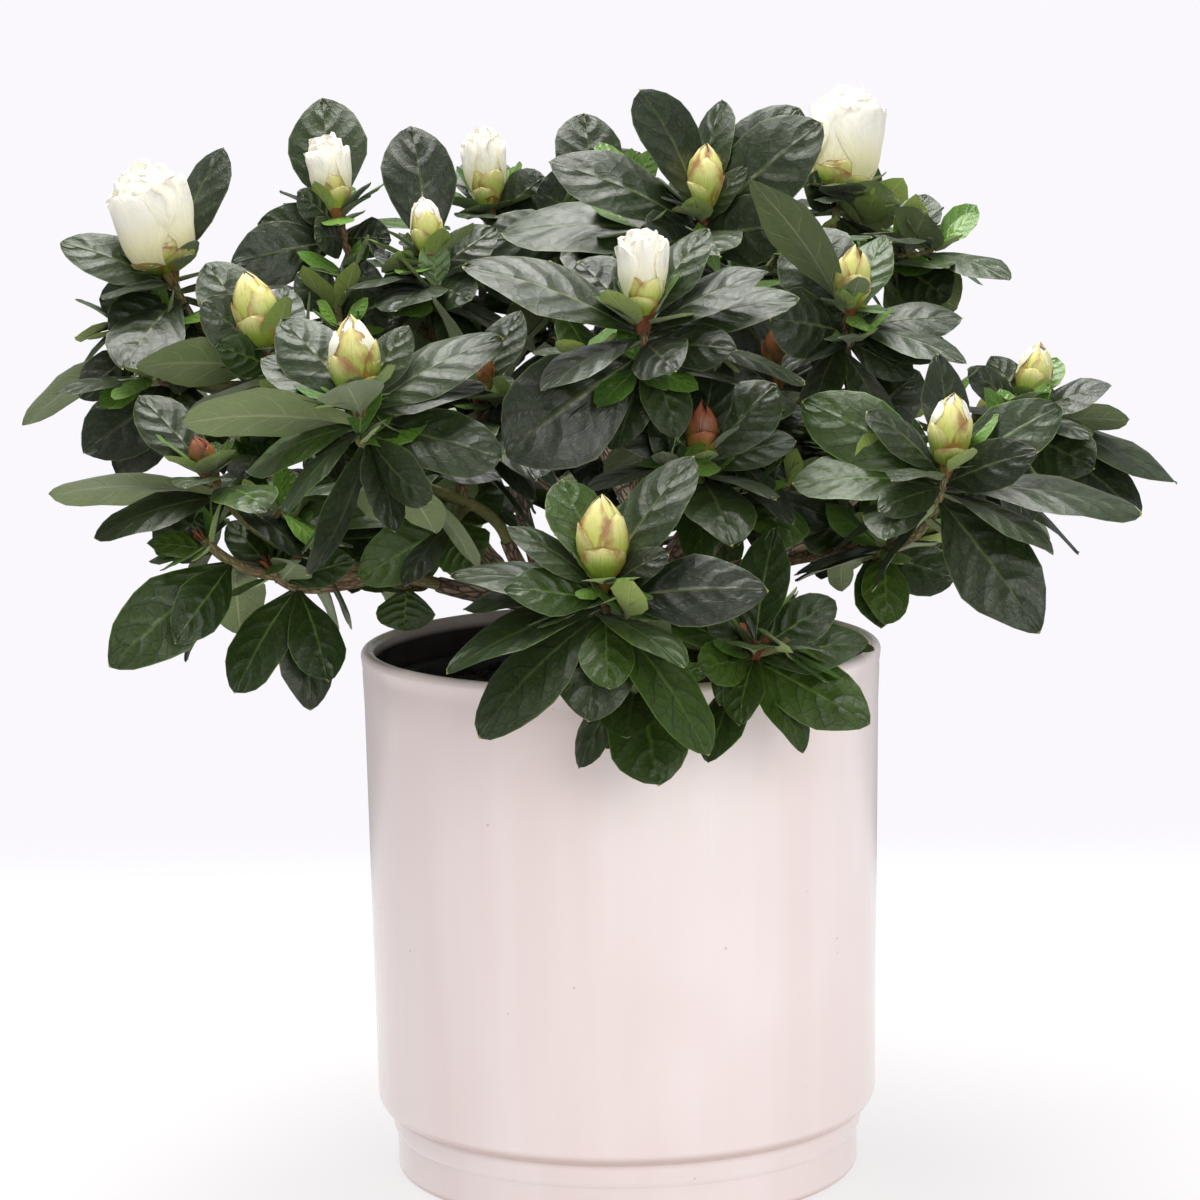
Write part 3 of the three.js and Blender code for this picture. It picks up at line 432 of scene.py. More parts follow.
def grow_leaves(limbs, shoots, side_twigs):
    """Leading leaves go on first, longest first, then the rule adds the rest round each shoot by
    the golden angle. A leaf that would touch another piece is turned a little, then shortened, and
    is left out after the last try. The finer leaves come last, and then the side twigs that have
    room, with theirs. Returns the leaves and those side twigs."""
    wood = [(curve.segments(), thick + LIMB_GAP, "") for curve, thick, _ in limbs.values()]
    wood += [(s["twig"].segments(), TWIG["clear"], s["spray"]) for s in shoots]
    segments = np.concatenate([w[0] for w in wood])
    clear = np.repeat([w[1] for w in wood], LIMB_STEPS)
    owner = np.repeat([w[2] for w in wood], LIMB_STEPS)
    placed, kept = [], []
    room = np.zeros((MOST_LEAVES, 4))   # centre and size of each placed leaf

    def close_to(centre, size):
        around = room[:len(placed)]
        apart = np.linalg.norm(around[:, :3] - centre, axis=1)
        return [placed[i] for i in np.flatnonzero(apart <= around[:, 3] + size)]

    def is_free(leaf):
        if meets_pot(leaf):
            return False
        others = owner != leaf["spray"]
        if near(segments[others], leaf["faces"], clear[others][:, None]):
            return False
        close = close_to(leaf["centre"], leaf["size"])
        for same in (True, False):
            group = [p for p in close if (p["spray"] == leaf["spray"]) == same]
            gap = LEAF["own_gap"] if same else LEAF["gap"]
            if group and (near(leaf["edges"], np.concatenate([p["faces"] for p in group]), gap)
                          or near(np.concatenate([p["edges"] for p in group]), leaf["faces"], gap)):
                return False
        return True

    def try_leaf(shoot, height, bearing, rise, length, width, roll):
        below = lerp(LEAF["whorl"][1], LEAF["whorl"][0], height)
        root = shoot["twig"].at(max(0, 1 - below / shoot["span"]))
        for n in range(LEAF["tries"]):
            turn = (-1) ** n * ((n + 1) // 2)
            tilt = turn * (-1) ** (n // 2)
            leaf = leaf_frame(root, bearing + LEAF["turn"] * turn, rise + LEAF["tilt"] * tilt,
                              length * (1 - LEAF["shrink"] * n), width, roll)
            leaf.update(spray=shoot["spray"], shoot=shoot, number=len(placed))
            if is_free(leaf):
                room[len(placed)] = *leaf["centre"], leaf["size"]
                placed.append(leaf)
                return

    def add_by_rule(shoot, count, first, size=1.0):
        start = 360 * noise(shoot["number"], 1)
        for i in range(count):
            height = i / max(1, count - 1)
            turn, lift, stretch, shape = (noise(shoot["number"] + 1, 10 * (first + i) + m) - 0.5 for m in range(4))
            swell = 0.9 + 0.25 * np.sin(np.pi * min(1, 1.3 * height)) - 0.45 * max(0, height - 0.6) / 0.4
            length = LEAF["length"] * size * swell * (1 + 0.2 * stretch)
            try_leaf(shoot, height, start + (first + i) * GOLDEN_ANGLE + 24 * turn,
                     lerp(*LEAF["rises"], height) + 20 * lift,
                     length, length * (LEAF["slim"] + 0.12 * shape), 20 * shape)

    for shoot in shoots:
        for bearing, rise, length, width, roll in sorted(shoot["lead"], key=lambda lead: -lead[2]):
            height = np.clip((rise - LEAD_RISES[0]) / (LEAD_RISES[1] - LEAD_RISES[0]), 0, 1)
            try_leaf(shoot, height, bearing, rise, length, width, roll)
    for shoot in shoots:
        add_by_rule(shoot, shoot["more"], 0)
    for shoot in shoots:
        add_by_rule(shoot, BARE.get((shoot["spray"], shoot["row"]), FINER), shoot["more"])
    for twig in side_twigs:
        run = twig["twig"].segments()
        others = [p for p in close_to(twig["tip"], SIDE["reach"]) if p["spray"] != twig["spray"]]
        if not others or not near(run, np.concatenate([p["faces"] for p in others]), SIDE["clear"]):
            kept.append(twig)
            add_by_rule(twig, SIDE["leaves"], 0, SIDE["size"])
    return placed, kept


# ---------------------------------------------------------------- meshes

class Bodies:
    """Closed bodies joined into one mesh. A body is a run of rings of points, a profile carried
    along a path, with quads between its rings and a flat cap at each end."""

    def __init__(self):
        self.points, self.uv, self.parts, self.tones = [], [], [], []
        self.counts, self.corners, self.total = [], [], 0

    def add(self, rings, around, along, back=None, sided=False, tone=0.0):
        """rings: (bodies, rings, points round a ring, 3). around: texture place of each point round
        the ring and of the first one again. along: that of each ring. back: 1 for each strip of
        quads on a blade's back, which start from the next corner so that both sides are split
        alike. sided: whether the back takes the second material. tone: a number for each body."""
        bodies, rows, columns, _ = rings.shape
        self.points.append(rings.reshape(-1, 3))
        self.tones.append(np.repeat(np.broadcast_to(np.asarray(tone, float), bodies), rows * columns))
        r, c = np.meshgrid(np.arange(rows - 1), np.arange(columns), indexing="ij")
        after = (c + 1) % columns
        quad = np.stack([r * columns + c, r * columns + after, (r + 1) * columns + after,
                         (r + 1) * columns + c], -1).reshape(-1, 4)
        u = np.stack([around[c], around[c + 1], around[c + 1], around[c]], -1).reshape(-1, 4)
        v = np.stack([along[r], along[r], along[r + 1], along[r + 1]], -1).reshape(-1, 4)
        caps = np.concatenate([np.arange(columns)[::-1], (rows - 1) * columns + np.arange(columns)])
        cap_u = np.concatenate([around[:columns][::-1], around[:columns]])
        cap_v = np.repeat([along[0], along[-1]], columns)
        back = np.zeros(columns, int) if back is None else back
        for corners in (quad, u, v):
            corners[back[c.ravel()] == 1] = np.roll(corners[back[c.ravel()] == 1], -1, axis=1)
        strips = back if sided else 0 * back
        loops = np.concatenate([quad.ravel(), caps])
        sizes = np.concatenate([np.full(len(quad), 4), [columns, columns]])
        offset = self.total + np.arange(bodies)[:, None] * rows * columns
        self.corners.append((loops[None] + offset).ravel())
        self.counts.append(np.tile(sizes, bodies))
        self.uv.append(np.tile(np.stack([np.r_[u.ravel(), cap_u], np.r_[v.ravel(), cap_v]], -1), (bodies, 1)))
        self.parts.append(np.tile(np.r_[strips[c.ravel()], strips[0], strips[0]], bodies))
        self.total += bodies * rows * columns

    def mesh(self, name, materials, slot, replaces=(), crease=60):
        """The bodies as one piece, smooth but for edges that turn more than the crease angle."""
        points = np.concatenate(self.points) * MM
        corners, counts = np.concatenate(self.corners), np.concatenate(self.counts)
        mesh = bpy.data.meshes.new(name)
        mesh.vertices.add(len(points))
        mesh.vertices.foreach_set("co", points.astype(np.float32).ravel())
        mesh.loops.add(len(corners))
        mesh.loops.foreach_set("vertex_index", corners.astype(np.int32))
        mesh.polygons.add(len(counts))
        mesh.polygons.foreach_set("loop_start", (np.cumsum(counts) - counts).astype(np.int32))
        mesh.polygons.foreach_set("loop_total", counts.astype(np.int32))
        mesh.polygons.foreach_set("material_index", np.concatenate(self.parts).astype(np.int32))
        mesh.update(calc_edges=True)
        layer = mesh.uv_layers.new(name="surface")
        layer.data.foreach_set("uv", np.concatenate(self.uv).astype(np.float32).ravel())
        tone = mesh.attributes.new("tone", "FLOAT", "POINT")
        tone.data.foreach_set("value", np.concatenate(self.tones).astype(np.float32))
        mesh.shade_smooth()
        mesh.set_sharp_from_angle(angle=np.radians(crease))
        for material in materials:
            mesh.materials.append(material)
        piece = bpy.data.objects.new(name, mesh)
        bpy.context.scene.collection.objects.link(piece)
        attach(piece, "root")
        if replaces:
            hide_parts(*replaces)


TURNED_SIDES = 160


def turned(profile):
    """A profile of radii and heights turned round Z: rings for Bodies."""
    radius, z = np.array(profile, float).T
    angle = np.arange(TURNED_SIDES) * 2 * np.pi / TURNED_SIDES
    rings = np.stack([radius[:, None] * np.cos(angle), radius[:, None] * np.sin(angle),
                      np.broadcast_to(z[:, None], (len(z), TURNED_SIDES))], -1)
    return rings[None]


def arc(radius, z, r, start, end, steps=8):
    """Points on an arc about (radius, z), from one angle in degrees to another."""
    a = np.radians(np.linspace(start, end, steps))
    return np.stack([radius + r * np.cos(a), z + r * np.sin(a)], -1)


def length_along(profile):
    """How far along a profile each of its points lies, in metres."""
    steps = np.linalg.norm(np.diff(np.array(profile, float), axis=0), axis=1)
    return np.r_[0, np.cumsum(steps)] * MM


def tube_frames(points):
    """Two directions across a path at each of its points: the tangent crossed with the fixed
    direction that is least along the path, and the tangent crossed with that."""
    tangent = unit(np.gradient(points, axis=0))
    fixed = np.eye(3)[np.argmin(np.abs(tangent).sum(0))]
    across = unit(np.cross(tangent, fixed))
    return across, np.cross(tangent, across)


def barked_tube(bodies, curve, radius, steps, sides, relief, seed):
    """A limb: a circle carried along its curve. Its radius is the limb's taper times one plus the
    relief, which is ridges that run along the limb, a sum of sines of the angle and the distance
    with seeded phases, scars across it at even steps, and a few knots, each a bell curve."""
    t = np.linspace(0, 1, steps + 1)
    points = curve.at(t)
    across, over = tube_frames(points)
    angle = np.arange(sides) * 2 * np.pi / sides
    distance = np.r_[0, np.cumsum(np.linalg.norm(np.diff(points, axis=0), axis=1))]
    a, d = np.meshgrid(angle, distance)
    bumps = sum(np.sin(m * a + k * d + PHASE * noise(seed, m + 3)) / m
                for m, k in ((2, 0.11), (3, -0.23), (5, 0.37), (7, -0.61)))
    scars = 0.5 * np.sin(0.9 * d + PHASE * noise(seed, 17)) ** 6
    knots = sum(np.exp(-((d - distance[-1] * noise(seed, j)) / 1.6) ** 2)
                * np.clip(np.cos(a - PHASE * noise(seed, j + 31)), 0, 1) ** 2 for j in range(3))
    r = radius(t)[:, None] * (1 + relief * (0.55 * bumps + 0.3 * scars + 1.2 * knots))
    way = np.cos(a)[..., None] * across[:, None] + np.sin(a)[..., None] * over[:, None]
    rings = points[:, None] + r[..., None] * way
    bodies.add(rings[None], np.linspace(0, 1, sides + 1), distance * MM, tone=noise(seed, 41))


class Section:
    """Places round a blade's section, from left to right along the upper side, then back under it."""

    def __init__(self, upper, rows):
        upper = np.array(upper)
        self.v = np.r_[upper, upper[-2:0:-1]]
        self.under = (np.arange(len(self.v)) >= len(upper)).astype(float)
        self.back = (np.arange(len(self.v)) >= len(upper) - 1).astype(int)
        self.around = np.r_[self.v, upper[0]] * 0.5 + 0.5
        along = np.linspace(0, 1, rows)
        self.u = lerp(along, (1 - np.cos(np.pi * along)) / 2, 0.7)


LEAF_SECTION = Section([-1, -0.45, 0, 0.45, 1], 12)
YOUNG_SECTION = Section([-1, 0, 1], 7)
PETAL_SECTION = Section(np.linspace(-1, 1, 9), 11)
SCALE_SECTION = Section(np.linspace(-1, 1, 5), 7)
LEAF_THICKNESS, YOUNG_THICKNESS, SCALE_THICKNESS = 0.42, 0.35, 0.3


def blade_outline(u, widest, base_power, tip_power, tip_round):
    """Half width over greatest half width: a quarter sine to a power up to the widest place, then
    a superellipse to the tip, and a stalk that stays a little open at the root."""
    to_widest = np.sin(np.pi / 2 * np.clip(u / widest, 0, 1)) ** base_power
    past = np.clip((u - widest) / (1 - widest), 0, 1)
    rounded = np.clip(1 - past**tip_power, 0, 1) ** tip_round
    return np.where(u < widest, to_widest, rounded) + 0.07 * (1 - u) ** 10 + 0.012


def leaf_rings(leaves, section, bend, thickness):
    """Leaf blades. The middle line is an arc of the given bend. Across it the section is a gull's
    wing: a groove at the midrib, a bell curve, and margins that fall with the square of the
    distance; the blade twists and waves a little along its length by seeded sines."""
    get = lambda key: np.array([leaf[key] for leaf in leaves])[:, None]
    seed = get("number")[..., None]
    root, head, upper, side = (get(key)[:, :, None, :] for key in ("root", "head", "upper", "side"))
    length, width = get("length")[..., None], get("width")[..., None]
    u, v = section.u[None, :, None], section.v[None, None, :]
    bend = np.radians(bend)
    arch = length * np.sin(bend * u) / bend
    fall = length * (1 - np.cos(bend * u)) / bend
    half = width / 2 * blade_outline(u, 0.5 + 0.1 * noise(seed, 51), 1.1 + 0.4 * noise(seed, 52),
                                     1.7 + 0.5 * noise(seed, 59), 0.64 + 0.24 * noise(seed, 60))
    ragged = 1 + 0.03 * np.sin(u * 17 + PHASE * noise(seed, 53) + np.sign(v) * 2)
    hug = 0.2 + 1.3 * noise(seed, 54)
    groove = -0.06 * width * np.exp(-(v / 0.2) ** 2) * np.sin(np.pi * np.clip(u, 0, 1)) ** 0.5
    margins = -0.2 * hug * half * v * v
    wave = 0.016 * length * np.abs(v) * np.sin(2 * np.pi * (2.1 * u + noise(seed, 55)) + 1.2 * np.sign(v)) * u
    twist = v * half * np.radians(30) * (noise(seed, 56) - 0.5) * u
    midrib = 0.9 * np.exp(-(v / 0.2) ** 2) * (1 - u) ** 0.7
    under = section.under * (thickness + midrib) * np.clip(half / 1.2, 0.25, 1)
    height = groove + margins + wave + twist - under - fall
    across = v * half * ragged
    return root + arch[..., None] * head + across[..., None] * side + height[..., None] * upper


def frames_round(axis):
    """Two directions square to each axis."""
    first = unit(np.cross(axis, np.broadcast_to([0.31, 0.95, 0.05], axis.shape)))
    return first, np.cross(axis, first)


def wrapped_rings(blades, section):
    """Scales and petals: blades wrapped round a shoot's axis. A blade rises from its foot to its
    tip at the radius of the profile, and spreads over an angle that follows its outline. Its tip
    may flare out, and its margin ruffles by sines whose size grows with the square of the height and
    dies out where the blade narrows to its tip."""
    get = lambda key: np.array([blade[key] for blade in blades])[:, None, None]
    u, v = section.u[None, :, None], section.v[None, None, :]
    axis = np.array([blade["axis"] for blade in blades])
    seat = np.array([blade["seat"] for blade in blades])
    first, second = frames_round(axis)
    seed = get("seed")
    rise = lerp(get("foot"), get("top"), u)
    radius = np.stack([np.interp(r, *blade["profile"]) for r, blade in zip(rise[..., 0], blades)])[..., None]
    shape = blade_outline(u, get("widest"), 0.8, 2.0, get("blunt"))
    shape = np.maximum(shape, get("broad") * (u < 0.5))
    crumple = get("ruffle") * u**2 * np.minimum(1, 2 * shape)
    ripple = np.sin(v * 5.5 + PHASE * noise(seed, 61)) + 0.5 * np.sin(v * 9 + u * 6 + PHASE * noise(seed, 62))
    angle = get("turn") + v * get("spread") * shape + 0.05 * crumple * np.sin(9 * u + seed)
    lift = get("lift") * (1 - 0.25 * u) + get("flare") * u**2.5 + 0.45 * crumple * ripple
    cup = -0.35 * np.abs(v) ** 2 * get("cup") * shape
    rise = rise + 0.7 * crumple * np.sin(v * 7 + PHASE * noise(seed, 63)) * np.abs(v) ** 0.5
    reach = np.maximum(radius * get("scale") + lift + cup, 0.15)
    reach = reach - section.under * SCALE_THICKNESS * np.sin(np.pi * np.clip(u, 0.04, 0.96)) ** 0.5
    flat = np.cos(angle)[..., None] * first[:, None, None] + np.sin(angle)[..., None] * second[:, None, None]
    rise = np.broadcast_to(rise, angle.shape)
    form = rise[..., None] * axis[:, None, None] + reach[..., None] * flat
    return seat[:, None, None] + get("size")[..., None] * form

# ---------------------------------------------------------------- materials

def rgb(red, green, blue):
    """A colour seen as red, green and blue from 0 to 255, in linear light."""
    c = np.array([red, green, blue]) / 255
    return (*np.where(c <= 0.04045, c / 12.92, ((c + 0.055) / 1.055) ** 2.4), 1.0)


class Nodes:
    """Makes and links a tree's nodes. A value that is a socket is linked, any other is set."""

    def __init__(self, tree):
        self.tree = tree

    def make(self, kind, inputs=None, **settings):
        node = self.tree.nodes.new(kind)
        for key, value in settings.items():
            setattr(node, key, value)
        for key, value in (inputs or {}).items():
            if isinstance(value, bpy.types.NodeSocket):
                self.tree.links.new(value, node.inputs[key])
            else:
                node.inputs[key].default_value = value
        return node

    def math(self, operation, *values, clamp=False):
        inputs = dict(enumerate(values))
        return self.make("ShaderNodeMath", inputs, operation=operation, use_clamp=clamp).outputs[0]

    def mix(self, factor, a, b):
        return self.make("ShaderNodeMix", {0: factor, 6: a, 7: b}, data_type="RGBA").outputs[2]

    def ramp(self, value, low, high, to_low=0.0, to_high=1.0):
        return self.make("ShaderNodeMapRange", {0: value, 1: low, 2: high, 3: to_low, 4: to_high},
                         interpolation_type="SMOOTHSTEP").outputs[0]

    def noise(self, vector, scale, detail=3.0, roughness=0.55):
        return self.make("ShaderNodeTexNoise", {"Vector": vector, "Scale": scale, "Detail": detail,
                                                "Roughness": roughness}).outputs["Fac"]

    def place(self):
        return self.make("ShaderNodeTexCoord").outputs["Object"]

    def surface(self):
        return self.make("ShaderNodeUVMap", uv_map="surface").outputs[0]

    def tone(self):
        return self.make("ShaderNodeAttribute", attribute_name="tone").outputs["Fac"]

    def stretched(self, vector, scale):
        return self.make("ShaderNodeMapping", {"Vector": vector, "Scale": scale}).outputs[0]

    def cells(self, vector, scale, feature="DISTANCE_TO_EDGE", **inputs):
        given = {"Vector": vector, "Scale": scale, **inputs}
        return self.make("ShaderNodeTexVoronoi", given, feature=feature).outputs

    def split(self, vector):
        return self.make("ShaderNodeSeparateXYZ", {0: vector}).outputs

    def length(self, vector):
        return self.make("ShaderNodeVectorMath", {0: vector}, operation="LENGTH").outputs["Value"]

    def bump(self, height, distance, strength=1.0):
        return self.make("ShaderNodeBump", {"Height": height, "Distance": distance,
                                            "Strength": strength}).outputs[0]

    def group(self, tree, inputs):
        return self.make("ShaderNodeGroup", inputs, node_tree=tree).outputs


def new_group(name, inputs, outputs):
    """An empty shader node group with named float inputs (with their defaults) and outputs."""
    tree = bpy.data.node_groups.new(name, "ShaderNodeTree")
    for key, value in inputs.items():
        socket = tree.interface.new_socket(key, in_out="INPUT", socket_type="NodeSocketFloat")
        socket.default_value = value
    for key in outputs:
        tree.interface.new_socket(key, in_out="OUTPUT", socket_type="NodeSocketFloat")
    nodes = Nodes(tree)
    return tree, nodes, nodes.make("NodeGroupInput").outputs, nodes.make("NodeGroupOutput")


def new_material(name, **settings):
    """A material with a Principled BSDF whose constants are set on its own sockets."""
    material = bpy.data.materials.new(name)
    material.use_nodes = True
    nodes = Nodes(material.node_tree)
    shader = material.node_tree.nodes["Principled BSDF"]
    for key, value in settings.items():
        shader.inputs[key.replace("_", " ")].default_value = value
    return material, nodes, lambda key, socket: material.node_tree.links.new(socket, shader.inputs[key])


def vein_group():
    """A leaf's veins, from the place across and along the blade: the midrib, side veins that curve
    towards the tip, a net of cells between them, and how far the blade swells between them all."""
    tree, n, given, out = new_group("leaf veins", {"Pairs": 5.5, "Net": 13.0, "Seed": 0.0},
                                    ["Midrib", "Side veins", "Net veins", "Quilting", "Margin"])
    place = n.split(n.surface())
    across = n.math("ABSOLUTE", n.math("MULTIPLY_ADD", place[0], 2.0, -1.0))
    side = n.math("SIGN", n.math("SUBTRACT", place[0], 0.5))
    wander = n.noise(n.stretched(n.surface(), (3.0, 4.0, 1.0)), 1.0, 1.0)
    bow = n.math("MULTIPLY_ADD", n.math("POWER", across, 1.35), -0.24, place[1])
    bow = n.math("MULTIPLY_ADD", wander, 0.07, bow)
    bow = n.math("MULTIPLY_ADD", side, 0.035, bow)
    ridge = n.math("PINGPONG", n.math("MULTIPLY_ADD", bow, given["Pairs"], given["Seed"]), 0.5)
    reach = n.ramp(across, 0.7, 0.95, 1.0, 0.0)
    net_place = n.make("ShaderNodeVectorMath", {0: n.stretched(n.surface(), (0.55, 1.0, 1.0)),
                                                1: n.make("ShaderNodeCombineXYZ", {2: given["Seed"]}).outputs[0]},
                       operation="ADD").outputs[0]
    cells = n.cells(net_place, given["Net"], Randomness=0.9)["Distance"]
    swell = n.math("MULTIPLY", n.ramp(ridge, 0.0, 0.42), n.ramp(across, 0.1, 1.0, 1.0, 0.35))
    results = {
        "Midrib": n.ramp(across, 0.0, 0.09, 1.0, 0.0),
        "Side veins": n.math("MULTIPLY", n.ramp(ridge, 0.0, 0.07, 1.0, 0.0), reach),
        "Net veins": n.ramp(cells, 0.0, 0.05, 1.0, 0.0),
        "Quilting": n.math("MULTIPLY_ADD", n.ramp(cells, 0.0, 0.3), 0.09, swell),
        "Margin": n.ramp(across, 0.95, 0.99),
    }
    for key, value in results.items():
        tree.links.new(value, out.inputs[key])
    return tree


def bark_group():
    """Bark: fissures between long plates, a grain and patches. The pattern is read on a circle for
    the place round the limb, carried on by the distance along it."""
    tree, n, given, out = new_group("bark", {"Plates": 1.4, "Length": 180.0}, ["Fissures", "Grain", "Patches"])
    place = n.split(n.surface())
    turn = n.math("MULTIPLY", place[0], 2 * np.pi)
    round_limb = n.make("ShaderNodeCombineXYZ", {0: n.math("COSINE", turn), 1: n.math("SINE", turn),
                                                 2: n.math("MULTIPLY", place[1], given["Length"])}).outputs[0]
    fissures = n.cells(round_limb, given["Plates"])["Distance"]
    grain = n.noise(round_limb, n.math("MULTIPLY", given["Plates"], 3.0), 5.0, 0.65)
    tree.links.new(n.ramp(n.math("MULTIPLY_ADD", grain, 0.2, fissures), 0.08, 0.3), out.inputs["Fissures"])
    tree.links.new(grain, out.inputs["Grain"])
    tree.links.new(n.ramp(n.noise(n.place(), 110.0, 2.0), 0.45, 0.62), out.inputs["Patches"])
    return tree


VEINS, BARK = vein_group(), bark_group()


def leaf_upper(name, dark, light, vein, roughness, quilt):
    """The upper side of a leaf: a dark blade, quilted between sunken veins that are painted darker as shade
    in their grooves, satin where it swells, with a paler midrib, margin and tip."""
    material, n, feed = new_material(name, Specular_IOR_Level=0.5, Specular_Tint=rgb(255, 254, 248),
                                    Sheen_Weight=0.04, Sheen_Roughness=0.4)
    tone = n.tone()
    along = n.split(n.surface())[1]
    veins = n.group(VEINS, {"Pairs": 5.5, "Net": 12.0, "Seed": n.math("MULTIPLY", tone, 7.0)})
    blotch = n.noise(n.place(), 160.0, 3.0)
    shade = n.math("MULTIPLY_ADD", blotch, 0.5, n.math("MULTIPLY_ADD", tone, 0.9, -0.2), clamp=True)
    colour = n.mix(shade, dark, light)
    sunken = n.math("MAXIMUM", veins["Side veins"], n.math("MULTIPLY", veins["Net veins"], 0.9))
    # Painted shade: the sunken side and net veins are painted darker, as shade in their grooves.
    colour = n.mix(n.math("MULTIPLY", sunken, 0.8), colour, tuple(0.4 * c for c in dark[:3]) + (1,))
    down = n.noise(n.stretched(n.surface(), (70.0, 22.0, 1.0)), 1.0, 3.0, 0.7)
    colour = n.mix(n.ramp(down, 0.54, 0.74, 0.0, 0.34), colour, rgb(124, 130, 104))
    pale = n.math("MULTIPLY", veins["Midrib"], n.ramp(along, 0.1, 0.9, 0.6, 0.1))
    pale = n.math("MAXIMUM", pale, n.math("MULTIPLY", veins["Margin"], 0.4))
    colour = n.mix(pale, colour, vein)
    feed("Base Color", n.mix(n.ramp(along, 0.985, 0.997), colour, rgb(172, 168, 84)))
    height = n.math("SUBTRACT", veins["Quilting"], n.math("MULTIPLY", sunken, 0.06))
    height = n.math("SUBTRACT", height, n.math("MULTIPLY", veins["Midrib"], 0.4))
    height = n.math("MULTIPLY_ADD", down, 0.22, height)
    feed("Normal", n.bump(height, quilt * MM))
    feed("Roughness", n.math("MULTIPLY_ADD", n.noise(n.place(), 500.0, 4.0, 0.7), 0.5, roughness - 0.25))
    return material


def leaf_under(name, dark, light, vein):
    """The underside: pale, matt and downy, with its veins standing out."""
    material, n, feed = new_material(name, Roughness=0.62, Sheen_Weight=0.25, Sheen_Roughness=0.5)
    tone = n.tone()
    veins = n.group(VEINS, {"Pairs": 5.5, "Net": 12.0, "Seed": n.math("MULTIPLY", tone, 7.0)})
    lines = n.math("MAXIMUM", veins["Midrib"], n.math("MULTIPLY", veins["Side veins"], 0.6))
    lines = n.math("MAXIMUM", lines, n.math("MULTIPLY", veins["Net veins"], 0.25))
    shade = n.math("MULTIPLY_ADD", n.noise(n.place(), 220.0, 4.0), 0.7, n.math("MULTIPLY", tone, 0.4), clamp=True)
    feed("Base Color", n.mix(n.math("MULTIPLY", lines, 0.8), n.mix(shade, dark, light), vein))
    feed("Normal", n.bump(n.math("ADD", lines, n.math("MULTIPLY", n.noise(n.place(), 2600.0, 2.0), 0.25)), 0.25 * MM))
    return material


def scale_material(name, outer, inner, tip, edge, edge_amount=1.0):
    """A bud's scale, from the colour of the outer ones to that of the inner ones by its tone, paler
    at its tip, with a stained edge and fine lines."""
    material, n, feed = new_material(name, Roughness=0.36, Subsurface_Weight=0.12,
                                     Subsurface_Radius=(0.6, 0.5, 0.2), Subsurface_Scale=0.002)
    place = n.split(n.surface())
    across = n.math("ABSOLUTE", n.math("MULTIPLY_ADD", place[0], 2.0, -1.0))
    lines = n.noise(n.stretched(n.surface(), (26.0, 1.6, 1.0)), 1.0, 2.0)
    tone = n.tone()
    mottled = n.math("MULTIPLY_ADD", n.noise(n.place(), 200.0, 3.0), 1.3, -0.65)
    rim = n.math("ADD", n.math("MULTIPLY", across, 0.5), n.math("MULTIPLY_ADD", place[1], 0.1, mottled))
    rim = n.ramp(n.math("MULTIPLY_ADD", lines, 0.3, rim), 0.36, 0.85, 0.0, edge_amount)
    body = n.mix(n.ramp(tone, 0.1, 0.9), outer, inner)
    body = n.mix(n.ramp(n.math("MULTIPLY_ADD", lines, 0.3, place[1]), 0.55, 1.15), body, tip)
    feed("Base Color", n.mix(rim, body, edge))
    feed("Normal", n.bump(n.math("ADD", lines, n.math("MULTIPLY", mottled, 0.4)), 0.22 * MM))
    return material


def petal_material(name, cream, white, shade):
    """A petal: cream, greenish yellow at the foot, crinkled by fine branching lines, painted a deeper cream as
    shade in its crinkles. It glows faintly, as painted light that lifts its shadows.
    """
    # The faint emission is painted light: the petal glows a little to lift its shadows.
    material, n, feed = new_material(name, Roughness=0.5, Subsurface_Weight=0.35,
                                     Subsurface_Radius=(1.0, 0.9, 0.6), Subsurface_Scale=0.003,
                                     Emission_Strength=0.07)
    place = n.split(n.surface())
    crinkle = n.noise(n.stretched(n.surface(), (9.0, 2.2, 1.0)), 1.0, 4.0, 0.6)
    fine = n.noise(n.stretched(n.surface(), (40.0, 6.0, 1.0)), 1.0, 2.0)
    colour = n.mix(n.ramp(place[1], 0.05, 0.85), cream, white)
    # Painted shade: the crinkles are mixed towards a deeper cream, as shade in their folds.
    feed("Base Color", n.mix(n.ramp(crinkle, 0.42, 0.7, 0.0, 0.35), colour, shade))
    feed("Normal", n.bump(n.math("MULTIPLY_ADD", fine, 0.25, crinkle), 0.5 * MM))
    return material


def bark_material(name, ridge, fissure, lichen, plates, length, depth, young=None):
    """Bark: fissures between plates, with grain and paler patches."""
    material, n, feed = new_material(name, Roughness=0.8)
    bark = n.group(BARK, {"Plates": plates, "Length": length})
    colour = n.mix(bark["Fissures"], fissure, n.mix(bark["Patches"], ridge, lichen))
    colour = n.mix(n.math("MULTIPLY", bark["Grain"], 0.45), colour, fissure)
    feed("Base Color", colour if young is None else n.mix(n.ramp(n.tone(), 0.2, 1.0), colour, young))
    height = n.math("MULTIPLY_ADD", bark["Grain"], 0.35, bark["Fissures"])
    feed("Normal", n.bump(height, depth * MM))
    return material


